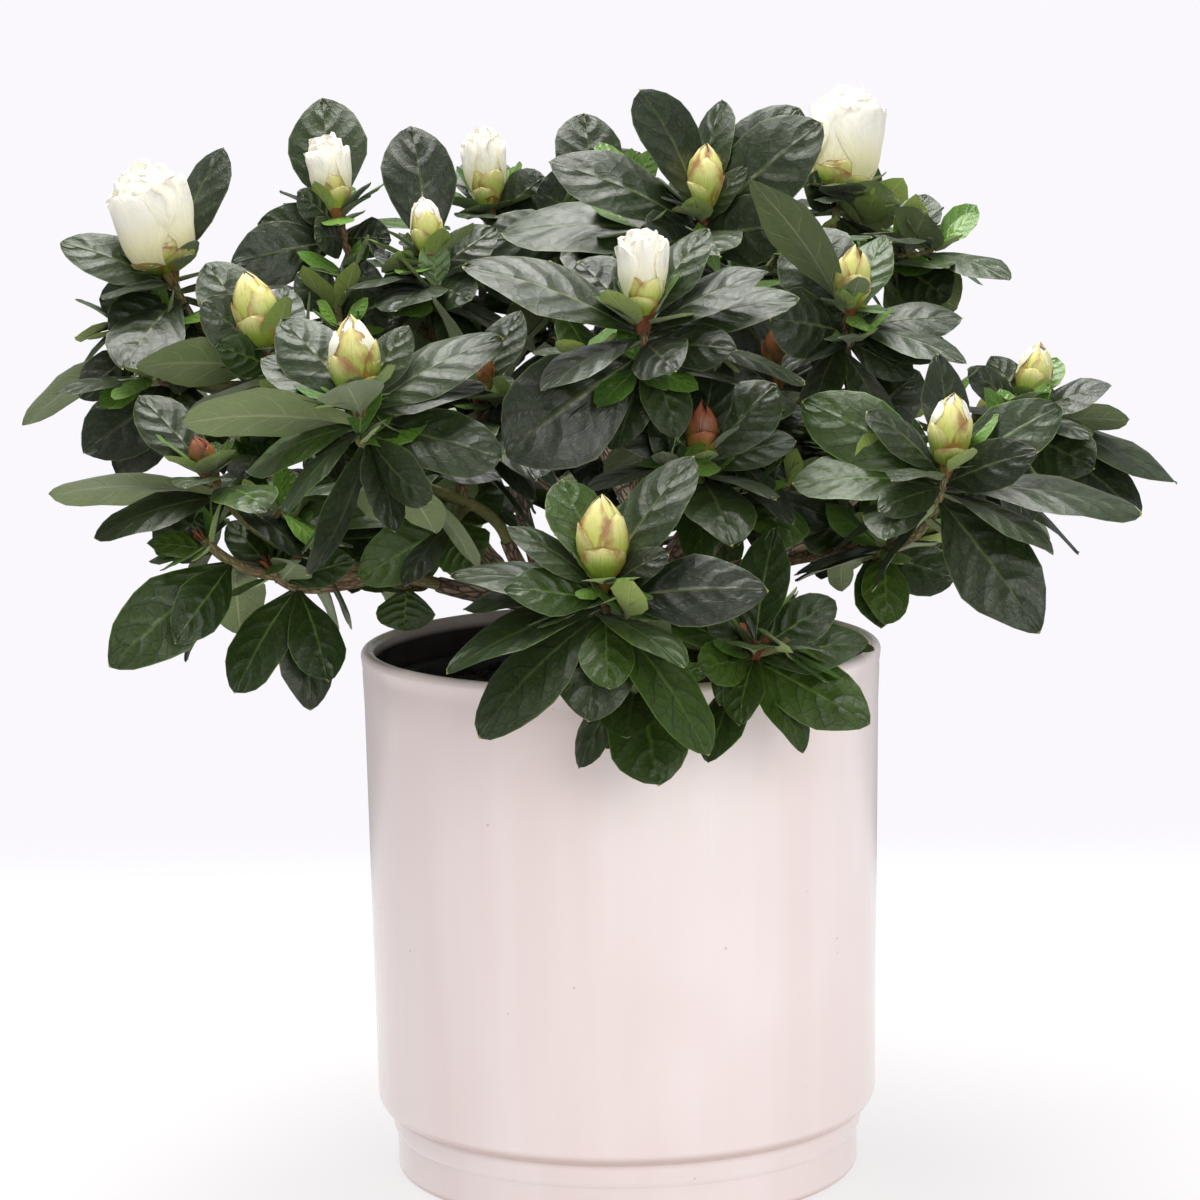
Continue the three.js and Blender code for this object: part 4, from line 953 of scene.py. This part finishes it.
def mix_material():
    """Potting mix: black-brown peat with reddish and pale crumbs, damp in places."""
    material, n, feed = new_material("potting mix", Roughness=0.9)
    crumbs = n.cells(n.place(), 520.0, "F1")
    red = n.ramp(n.noise(n.place(), 330.0, 2.0), 0.5, 0.62)
    colour = n.mix(red, rgb(34, 24, 20), rgb(92, 52, 36))
    colour = n.mix(n.ramp(n.noise(n.place(), 700.0, 2.0), 0.66, 0.72), colour, rgb(150, 120, 96))
    feed("Base Color", n.mix(n.ramp(crumbs["Distance"], 0.1, 0.7), colour, rgb(16, 12, 11)))
    feed("Roughness", n.ramp(n.noise(n.place(), 60.0, 2.0), 0.4, 0.6, 0.65, 0.95))
    feed("Normal", n.bump(n.math("MULTIPLY_ADD", n.noise(n.place(), 1500.0, 4.0), 0.6,
                                 n.math("MULTIPLY", crumbs["Distance"], -1.0)), 1.2 * MM))
    return material


def glaze_material():
    """Glazed stoneware: a warm white glaze that varies in soft upright streaks, with painted shade in a darker
    line in the crease at the foot, a darker band along the bottom edge, sparse fine specks and a faint ripple.
    Its inner wall is painted dark, as shade inside the pot."""
    material, n, feed = new_material("blush glaze", Roughness=0.2, Coat_Weight=0.3, Coat_Roughness=0.1,
                                     Subsurface_Weight=0.06, Subsurface_Radius=(1.0, 0.7, 0.6),
                                     Subsurface_Scale=0.004)
    place = n.place()
    streaks = n.noise(n.stretched(place, (38.0, 38.0, 3.0)), 1.0, 3.0)
    clouds = n.noise(place, 14.0, 2.0)
    body = n.mix(n.ramp(streaks, 0.3, 0.7), rgb(239, 222, 218), rgb(245, 233, 230))
    body = n.mix(n.ramp(clouds, 0.4, 0.7, 0.0, 0.5), body, rgb(235, 217, 213))
    cells = n.cells(place, 240.0, "F1")
    chosen = n.ramp(n.make("ShaderNodeSeparateColor", {0: cells["Color"]}).outputs[0], 0.93, 0.94)
    specks = n.math("MULTIPLY", n.ramp(cells["Distance"], 0.05, 0.12, 1.0, 0.0), chosen)
    height = n.split(place)[2]
    step = POT["foot_height"] * MM
    # Painted shade darkens the crease where the body meets the foot; the band along the bottom edge is darker too,
    # and the specks are the glaze's own.
    crease = n.ramp(n.math("ABSOLUTE", n.math("SUBTRACT", height, step + 0.0012)), 0.0, 0.0026, 0.55, 0.0)
    edge = n.ramp(height, 0.0, 0.0022, 0.7, 0.0)
    crease_shade_and_specks = n.math("MAXIMUM", n.math("MAXIMUM", crease, edge), n.math("MULTIPLY", specks, 0.4))
    reach = n.length(n.stretched(place, (1.0, 1.0, 0.0)))
    lip = (POT["height"] - 2.5) * MM
    wall = (POT["rim"] - POT["lip"]) * MM
    # Painted shade: the inner wall below the lip is painted dark, as the shade inside the pot.
    inside = n.math("MULTIPLY", n.ramp(height, 0.03, 0.04), n.ramp(height, lip - 0.0015, lip + 0.0005, 1.0, 0.0))
    inside = n.math("MULTIPLY", inside, n.ramp(reach, wall + 0.0003, wall + 0.0011, 1.0, 0.0))
    feed("Base Color", n.mix(inside, n.mix(crease_shade_and_specks, body, rgb(170, 132, 118)), rgb(58, 52, 51)))
    feed("Roughness", n.ramp(streaks, 0.2, 0.8, 0.15, 0.3))
    ripple = n.math("MULTIPLY_ADD", n.noise(n.stretched(place, (60.0, 60.0, 22.0)), 1.0, 2.0), 1.0,
                    n.math("MULTIPLY", specks, 0.25))
    feed("Normal", n.bump(ripple, 0.25 * MM, 0.5))
    return material


def plastic_material():
    """Thin black plastic with a faint sheen, scuffed and dusty with peat."""
    material, n, feed = new_material("black plastic", Roughness=0.3)
    scuffs = n.noise(n.stretched(n.place(), (900.0, 900.0, 40.0)), 1.0, 2.0)
    dust = n.ramp(n.noise(n.place(), 260.0, 4.0), 0.5, 0.7, 0.0, 0.5)
    feed("Base Color", n.mix(dust, rgb(22, 22, 25), rgb(58, 50, 46)))
    feed("Roughness", n.math("MULTIPLY_ADD", dust, 0.6, n.math("MULTIPLY_ADD", scuffs, 0.15, 0.22)))
    feed("Normal", n.bump(scuffs, 0.08 * MM))
    return material

# ---------------------------------------------------------------- pot and what fills it

def grow_radius(z):
    """Radius of the grower's pot's outside at a height, straight from its base to its rim."""
    g = GROW_POT
    return lerp(g["base"], g["rim"] - g["rim_width"], (z - POT["floor"]) / g["height"])


def add_turned(name, profile, material, slot, node):
    """A profile turned round Z as a piece in place of a CAD node."""
    bodies = Bodies()
    bodies.add(turned(profile), np.linspace(0, 1, TURNED_SIDES + 1), length_along(profile))
    bodies.mesh(name, [material], slot, [node], crease=50)


def build_pot():
    """The cover pot: foot, step, slightly flared wall, rounded lip and inside, turned round Z."""
    p = POT
    lip = p["lip"] / 2
    profile = np.concatenate([
        [[0.2, 1.0], [p["foot"] - 9, 1.0], [p["foot"] - 7.5, 0.0]],
        arc(p["foot"] - p["foot_edge"], p["foot_edge"], p["foot_edge"], -90, 0),
        [[p["foot"], z] for z in np.linspace(4, p["foot_height"] - 1.4, 4)],
        arc(p["foot"] + 0.9, p["foot_height"] - 0.9, 0.9, 180, 90, 5),
        arc(p["base"] - p["corner"], p["foot_height"] + p["corner"], p["corner"], -78, 0),
        [[lerp(p["base"], p["shoulder"], t), lerp(24, p["height"] - 3 * p["lip_height"], t)]
         for t in np.linspace(0, 1, 14)[1:]],
        [[p["rim"] - 0.35, p["height"] - p["lip_height"] - 0.9],
         [p["rim"] - 0.42, p["height"] - p["lip_height"] - 0.2]],
        arc(p["rim"] - lip, p["height"] - lip, lip, -12, 180, 14),
        [[lerp(p["rim"] - p["lip"], p["base"] - p["wall"], t), lerp(p["height"] - lip, p["floor"] + p["corner"], t)]
         for t in np.linspace(0, 1, 12)[1:]],
        arc(p["base"] - p["wall"] - p["corner"], p["floor"] + p["corner"], p["corner"], 0, -90),
        [[0.2, p["floor"]]],
    ])
    add_turned("cover_pot", profile, glaze_material(), "glazed_pot", "pot")


def build_grow_pot():
    """The grower's pot: a thin cone with a folded rim, turned round Z."""
    g, bottom = GROW_POT, POT["floor"] + GAP
    top, fold = g["height"], g["height"] - g["rim_height"]
    profile = np.concatenate([
        [[0.2, bottom], [grow_radius(bottom), bottom], [grow_radius(fold), fold]],
        arc(g["rim"] - 0.6, fold + 0.6, 0.6, -90, 0, 4),
        arc(g["rim"] - 0.7, top - 0.7, 0.7, 0, 90, 4),
        arc(grow_radius(top) - g["wall"] + 0.7, top - 0.7, 0.7, 90, 180, 4),
        [[grow_radius(bottom) - g["wall"], bottom + g["wall"]], [0.2, bottom + g["wall"]]],
    ])
    add_turned("growers_pot", profile, plastic_material(), "grow_pot", "grow_pot")


def mix_height(x, y):
    """Height of the mix's top: a low crown, with lumps as a sum of crossed sines."""
    lumps = sum(np.sin(f * x + 1.7 * f * y * (-1) ** i + PHASE * noise(i, 71)) * np.sin(0.8 * f * y - f * x * 0.3 + i)
                * a for i, (f, a) in enumerate(((0.16, 0.5), (0.31, 0.4), (0.63, 0.3), (1.3, 0.25), (2.1, 0.2))))
    return MIX_TOP - 1.2 + 1.2 * np.exp(-(np.hypot(x, y) / 18) ** 2) + 0.8 * lumps


def build_mix(material):
    """The potting mix: a plug in the grower's pot whose top is lumpy, and crumbs that lie on it,
    each a small ball pushed out of round by seeded sines."""
    inset = GROW_POT["wall"] + GAP
    bottom = POT["floor"] + GROW_POT["wall"] + 2 * GAP
    edge = grow_radius(MIX_TOP - 2) - inset
    rings = turned([(0.2, bottom), (grow_radius(bottom) - inset, bottom), (edge, MIX_TOP - 2.2)]
                   + [(edge * r, MIX_TOP) for r in np.linspace(0.985, 0.004, 40)])
    top = rings[0, 3:]
    top[..., 2] = np.minimum(mix_height(top[..., 0], top[..., 1]), MIX_TOP + 0.9)
    bodies = Bodies()
    bodies.add(rings, np.linspace(0, 1, TURNED_SIDES + 1), np.linspace(0, 0.2, rings.shape[1]))
    i = np.arange(700)
    reach = edge * 0.97 * np.sqrt(noise(i, 81))
    angle = 2 * np.pi * noise(i, 82)
    size = 0.45 + 1.5 * noise(i, 83) ** 3
    centre = np.stack([reach * np.cos(angle), reach * np.sin(angle)], -1)
    centre = np.c_[centre, mix_height(*centre.T) + 0.2 * size]
    polar, turn = np.linspace(0.15, np.pi - 0.15, 5), np.arange(7) * 2 * np.pi / 7
    p, t = np.meshgrid(polar, turn, indexing="ij")
    seed = i[:, None, None]
    r = size[:, None, None] * (1 + 0.3 * np.sin(2 * t + 3 * p + PHASE * noise(seed, 84)) * np.sin(2.3 * p + seed))
    flat = 0.55 + 0.4 * noise(seed, 85)
    ball = np.stack([r * np.sin(p) * np.cos(t), r * np.sin(p) * np.sin(t) * flat, -r * np.cos(p) * 0.75], -1)
    c, s = np.cos(PHASE * noise(seed, 86)), np.sin(PHASE * noise(seed, 86))
    ball = np.stack([c * ball[..., 0] - s * ball[..., 1], s * ball[..., 0] + c * ball[..., 1], ball[..., 2]], -1)
    bodies.add(ball + centre[:, None, None], np.linspace(0, 1, 8), polar, tone=noise(i, 87))
    bodies.mesh("potting_mix_top", [material], "potting_mix", ["potting_mix"], crease=40)


# ---------------------------------------------------------------- wood

def build_wood(limbs, shoots):
    """The trunk, the boughs and the twigs, each a barked tube, greener on the twigs."""
    bark = bark_material("bark", rgb(160, 136, 110), rgb(74, 56, 44), rgb(170, 156, 134), 1.7, 130.0, 0.5)
    twig_bark = bark_material("twig bark", rgb(142, 116, 84), rgb(86, 62, 44), rgb(128, 132, 84), 1.3, 260.0, 0.2,
                              young=rgb(116, 116, 66))
    trunk, boughs, twigs = Bodies(), Bodies(), Bodies()
    for number, (name, (curve, thick, thin)) in enumerate(limbs.items()):
        if name == "trunk":
            base = TRUNK["radii"][0]
            radius = lambda t: lerp(base, thin, t) + TRUNK["flare"] * (1 - t) ** 4
            barked_tube(trunk, curve, radius, 60, 40, 0.13, number)
        else:
            steps = int(np.linalg.norm(curve.at(1) - curve.at(0)) / 0.9)
            barked_tube(boughs, curve, lambda t: lerp(thick, thin, t), steps, 18, 0.14, number + 40)
    for shoot in shoots:
        steps = int(shoot["span"] / 1.1)
        first, last = TWIG["radii"] if shoot["number"] < SIDE["number"] else TWIG["side_radii"]
        barked_tube(twigs, shoot["twig"], lambda t: lerp(first, last, t) * 0.92, steps, 10, 0.12,
                    shoot["number"] + 90)
    bough_nodes = ["bough_" + name for name in limbs if name != "trunk"]
    trunk.mesh("trunk_bark", [bark], "bark", ["trunk"])
    boughs.mesh("bough_bark", [bark], "bark", bough_nodes)
    twigs.mesh("twigs", [twig_bark], "foliage")


# ---------------------------------------------------------------- leaves

def add_leaves(name, leaves, section, bend, thickness, materials, nodes=()):
    """Leaves as one piece, each with a tone of its own. materials: the upper side's and the
    underside's."""
    bodies = Bodies()
    bodies.add(leaf_rings(leaves, section, bend, thickness), section.around, section.u, section.back,
               True, [noise(leaf["number"], 57) for leaf in leaves])
    bodies.mesh(name, materials, "foliage", nodes)


def build_leaves(leaves):
    """Grown leaves, dark where they look up from the crown's top and greener below it, in pieces by
    kind and by side of the plant."""
    under = leaf_under("leaf underside", rgb(88, 106, 56), rgb(118, 134, 78), rgb(150, 162, 108))
    upper = leaf_upper("dark leaf", rgb(13, 27, 7), rgb(40, 57, 22), rgb(104, 118, 68), 0.37, 0.3)
    lower = leaf_upper("green leaf", rgb(26, 46, 7), rgb(58, 84, 18), rgb(116, 150, 66), 0.35, 0.3)
    front = lambda leaf: leaf["shoot"]["tip"][1] < 0
    sorts = {"dark_leaves_front": (upper, lambda leaf: front(leaf) and not is_green(leaf)),
             "dark_leaves_back": (upper, lambda leaf: not front(leaf) and not is_green(leaf)),
             "green_leaves": (lower, is_green)}
    nodes = ["foliage_" + spray for spray in SPRAYS]
    for name, (material, belongs) in sorts.items():
        own = [leaf for leaf in leaves if belongs(leaf)]
        add_leaves(name, own, LEAF_SECTION, LEAF["bend"], LEAF_THICKNESS, [material, under], nodes)
        nodes = []


def is_green(leaf):
    """Leaves of the lower, outward-leaning shoots keep a fresher green, and so do a few others."""
    shade = leaf["shoot"]["height"] - 14 * leaf["shoot"]["lean"] + 54 * (noise(leaf["number"], 58) - 0.5)
    return shade < 172 or noise(leaf["number"], 64) > 0.9


YOUNG_COUNT = {"bloom": 9, "opening": 9, "bud": 8, "small": 8, "pink": 5, "brown": 4, "scales": 4, "green": 9,
               "leafy": 5}
YOUNG_BEND = 24.0


def build_young_leaves(shoots):
    """Small bright leaves that stand up round each shoot's end."""
    young = []
    for shoot in shoots:
        first, second = frames_round(shoot["axis"])
        for i in range(YOUNG_COUNT[shoot["end"]]):
            k = shoot["number"] * 20 + i
            turn = np.radians(GOLDEN_ANGLE * i + 360 * noise(k, 91))
            rise = np.radians(lerp(0, 74, noise(k, 92)))
            flat = np.cos(turn) * first + np.sin(turn) * second
            head = flat * np.cos(rise) + shoot["axis"] * np.sin(rise)
            upper = shoot["axis"] * np.cos(rise) - flat * np.sin(rise)
            length = lerp(9, 18, noise(k, 93))
            young.append(dict(root=shoot["tip"] - shoot["axis"] * lerp(0.5, 3.0, noise(k, 94)) + flat * 0.6,
                              head=head, upper=upper, side=np.cross(upper, head), length=length,
                              width=length * lerp(0.46, 0.64, noise(k, 95)), number=1000 + k))
    fresh = leaf_upper("young leaf", rgb(58, 94, 26), rgb(98, 136, 46), rgb(152, 174, 88), 0.34, 0.13)
    under = leaf_under("young underside", rgb(124, 150, 56), rgb(158, 178, 80), rgb(186, 198, 116))
    add_leaves("young_leaves", young, YOUNG_SECTION, YOUNG_BEND, YOUNG_THICKNESS, [fresh, under])


# ---------------------------------------------------------------- buds and blooms

def blade(shoot, seed, **given):
    """A scale's or petal's place and form round its shoot, with plain values where none is given."""
    whole = dict(turn=0.0, foot=-1.5, top=10.0, spread=0.8, widest=0.55, broad=0.0, blunt=0.5, lift=0.0, flare=0.0,
                 ruffle=0.0, cup=0.0, scale=1.0, tone=0.5, size=END_SIZES.get(shoot["spray"], 1.0),
                 profile=ENDS.get(shoot["end"], ENDS["scales"]))
    whole.update(axis=shoot["axis"], seat=shoot["tip"], seed=shoot["number"] * 31.0 + seed, **given)
    return whole


OUTER_SCALE = 0.28                 # the height of a bud's outermost scale, as a share of the bud's


def bud_scales(shoot, count, height):
    """A bud's scales by the golden angle, from short outer ones at the foot to inner ones that
    close over its tip."""
    scales = []
    for i in range(count):
        t = i / (count - 1)
        k = shoot["number"] * 7 + i
        scales.append(blade(
            shoot, i, turn=np.radians(GOLDEN_ANGLE * i + 360 * noise(shoot["number"], 101)),
            foot=-1.8 + 0.12 * height * t,
            top=height * lerp(OUTER_SCALE, 1.0, min(1, 1.5 * t) ** 0.8) * (1 + 0.05 * noise(k, 102)),
            spread=lerp(1.25, 1.05, t), widest=lerp(0.42, 0.5, t), broad=0.6, lift=lerp(0.75, -0.1, t),
            flare=0.7 * noise(k, 103) * (1 - t) ** 3, cup=0.3, scale=lerp(1.0, 0.95, t),
            tone=t * 0.85 + 0.15 * noise(k, 104)))
    return scales


def petals(shoot, count, foot, top, nest, ruffle, flare=0.0, outer=0.86):
    """Petals by the golden angle, the outer ones shorter and looser, the inner ones nested by a
    length within them."""
    blades = []
    for i in range(count):
        t = i / (count - 1)
        k = shoot["number"] * 13 + i
        blades.append(blade(
            shoot, 50 + i, turn=np.radians(GOLDEN_ANGLE * i + 90 * noise(k, 111)), foot=foot,
            top=top * lerp(outer, 1.0, t) * (1 + 0.1 * (noise(k, 112) - 0.5)),
            spread=lerp(0.9, 1.3, noise(k, 113)), widest=0.8, broad=0.5, blunt=0.4, lift=lerp(0.3, -nest, t),
            flare=flare * lerp(1.4, -0.2, noise(k, 114)), ruffle=ruffle))
    return blades


# How many scales and how high, by what ends a shoot, and the petals that show.
GREEN_SCALES = {"bud": (10, 19.0), "small": (8, 12.0), "opening": (8, 10.0), "bloom": (9, 7.0)}
BROWN_SCALES = {"brown": (8, 12.6), "pink": (8, 8.8)}
PETALS = {
    "bud": dict(count=5, foot=8.0, top=19.5, nest=1.2, ruffle=0.7),
    "small": dict(count=6, foot=3.0, top=17.0, nest=1.4, ruffle=0.9),
    "opening": dict(count=12, foot=2.0, top=21.5, nest=2.6, ruffle=1.4, flare=0.5, outer=0.8),
    "bloom": dict(count=26, foot=1.0, top=28.0, nest=7.5, ruffle=1.6, flare=0.6, outer=0.78),
}
SHUT_BUDS = 0.35                   # the share of buds that show no petal
FOOT_SCALES = 7                    # brown scales round the foot of each end


def build_ends(shoots):
    """Buds, opening buds and blooms, joined by kind: scales, brown scales and petals."""
    green, brown, petal = [], [], []
    for shoot in shoots:
        end = shoot["end"]
        if end in GREEN_SCALES:
            green += bud_scales(shoot, *GREEN_SCALES[end])
        if end in PETALS and (end != "bud" or noise(shoot["number"], 131) > SHUT_BUDS):
            petal += petals(shoot, **PETALS[end])
        if end in BROWN_SCALES:
            brown += bud_scales(shoot, *BROWN_SCALES[end])
        if end != "leafy":
            for i in range(FOOT_SCALES):
                k = shoot["number"] * 17 + i
                brown.append(blade(shoot, 80 + i, turn=np.radians(GOLDEN_ANGLE * i + 50 * noise(k, 121)),
                                   foot=-5.0 + noise(k, 122), top=0.5 + 3.5 * noise(k, 123), spread=0.8, widest=0.45,
                                   broad=0.4, lift=0.6, flare=2.2 * noise(k, 124),
                                   scale=0.0 if end == "green" else 0.6,
                                   tone=noise(k, 125), profile=((-6, 0, 4), (1.6, 3.4, 4.0))))
    kinds = {
        "bud_scales": (green, SCALE_SECTION, scale_material("bud scale", rgb(134, 158, 52), rgb(200, 204, 92),
                                                            rgb(236, 228, 150), rgb(152, 84, 48), 0.8)),
        "brown_scales": (brown, SCALE_SECTION, scale_material("brown scale", rgb(124, 112, 46), rgb(118, 60, 38),
                                                              rgb(160, 92, 56), rgb(92, 44, 32))),
        "petals": (petal, PETAL_SECTION, petal_material("petal", rgb(232, 224, 140), rgb(254, 249, 230),
                                                        rgb(246, 236, 204))),
    }
    for name, (blades, section, material) in kinds.items():
        bodies = Bodies()
        bodies.add(wrapped_rings(blades, section), section.around, section.u, section.back,
                   tone=[b["tone"] for b in blades])
        bodies.mesh(name, [material], "foliage", crease=70)


# ---------------------------------------------------------------- stage, camera and light

def build_stage():
    """A pale table lit through from below, a sheet whose far edge and sides fade out."""
    rows, columns = 11, 13
    x, y = np.meshgrid(np.linspace(-0.9, 0.9, columns), np.linspace(-0.95, 0.45, rows))
    points = np.stack([x, y, np.zeros_like(x)], -1).reshape(-1, 3)
    r, c = np.meshgrid(np.arange(rows - 1), np.arange(columns - 1), indexing="ij")
    first = r * columns + c
    faces = np.stack([first, first + 1, first + columns + 1, first + columns], -1).reshape(-1, 4)
    mesh = bpy.data.meshes.new("table_top")
    mesh.from_pydata(points.tolist(), [], faces.tolist())
    material, n, feed = new_material("table", Roughness=0.7, Emission_Strength=0.72)
    place = n.split(n.place())
    reach = n.length(n.place())
    # Painted reflection: near the pot the table is tinted faintly pink, as the glaze's colour thrown onto it.
    feed("Base Color", n.mix(n.ramp(reach, 0.05, 0.3), rgb(116, 111, 110), rgb(114, 114, 115)))
    inside = n.math("MULTIPLY", n.ramp(place[1], 0.27, 0.42, 1.0, 0.0), n.ramp(place[1], -0.92, -0.7))
    aside = n.ramp(n.math("ABSOLUTE", place[0]), 0.5, 0.85, 1.0, 0.0)
    feed("Alpha", n.math("MULTIPLY", inside, aside))
    mesh.materials.append(material)
    table = bpy.data.objects.new("table_top", mesh)
    bpy.context.scene.collection.objects.link(table)


def set_camera():
    """The camera: yaw and pitch turn its line of sight, and roll turns it about that line."""
    yaw, pitch, roll, place = -0.005, 0.153, -0.0152, (0.0, -1.0326, 0.30885)
    sight = np.array([np.sin(yaw) * np.cos(pitch), np.cos(yaw) * np.cos(pitch), -np.sin(pitch)])
    right = np.array([np.cos(yaw), -np.sin(yaw), 0.0])
    up = np.cross(right, sight)
    right, up = np.cos(roll) * right + np.sin(roll) * up, np.cos(roll) * up - np.sin(roll) * right
    data = bpy.data.cameras.new("camera")
    data.sensor_width, data.lens = 36.0, 120.729
    camera = bpy.data.objects.new("camera", data)
    camera.matrix_world = Matrix.Translation(place) @ Matrix(np.array([right, up, -sight]).T.tolist()).to_4x4()
    bpy.context.scene.collection.objects.link(camera)
    bpy.context.scene.camera = camera


def add_softbox(name, place, aim, size, power):
    """A rectangular area light of a size and power at a place, turned to the point it aims at."""
    data = bpy.data.lights.new(name, "AREA")
    data.shape, data.size, data.size_y, data.energy = "RECTANGLE", *size, power
    light = bpy.data.objects.new(name, data)
    way = Matrix.Translation(place).to_translation() - Matrix.Translation(aim).to_translation()
    light.location = place
    light.rotation_mode = "QUATERNION"
    light.rotation_quaternion = way.to_track_quat("Z", "Y")
    bpy.context.scene.collection.objects.link(light)


def light_studio():
    """A white room, seen brighter than it lights and dimmer in gloss, and two large softboxes."""
    scene = bpy.context.scene
    scene.view_settings.view_transform = "Standard"
    world = scene.world or bpy.data.worlds.new("studio")
    scene.world = world
    world.use_nodes = True
    n = Nodes(world.node_tree)
    sky = world.node_tree.nodes.get("Background") or n.make("ShaderNodeBackground")
    sky.inputs["Color"].default_value = rgb(248, 246, 251)
    path = n.make("ShaderNodeLightPath").outputs
    seen = n.math("MULTIPLY_ADD", path["Is Glossy Ray"], -0.25, path["Is Camera Ray"])
    world.node_tree.links.new(n.math("MULTIPLY_ADD", seen, 0.5, 0.52), sky.inputs["Strength"])
    add_softbox("top softbox", (-0.1, 0.12, 1.1), (0, 0, 0.2), (0.9, 0.75), 21.0)
    add_softbox("front softbox", (0.5, -1.3, 0.6), (0, 0, 0.13), (0.8, 0.6), 7.5)


# ---------------------------------------------------------------- the potted azalea

limbs = grow_limbs()
shoots = grow_shoots(limbs)
leaves, side_twigs = grow_leaves(limbs, shoots, grow_side_twigs(shoots))
build_pot()
build_grow_pot()
build_mix(mix_material())
build_wood(limbs, shoots + side_twigs)
build_leaves(leaves)
build_young_leaves(shoots + side_twigs)
build_ends(shoots)
build_stage()
set_camera()
light_studio()
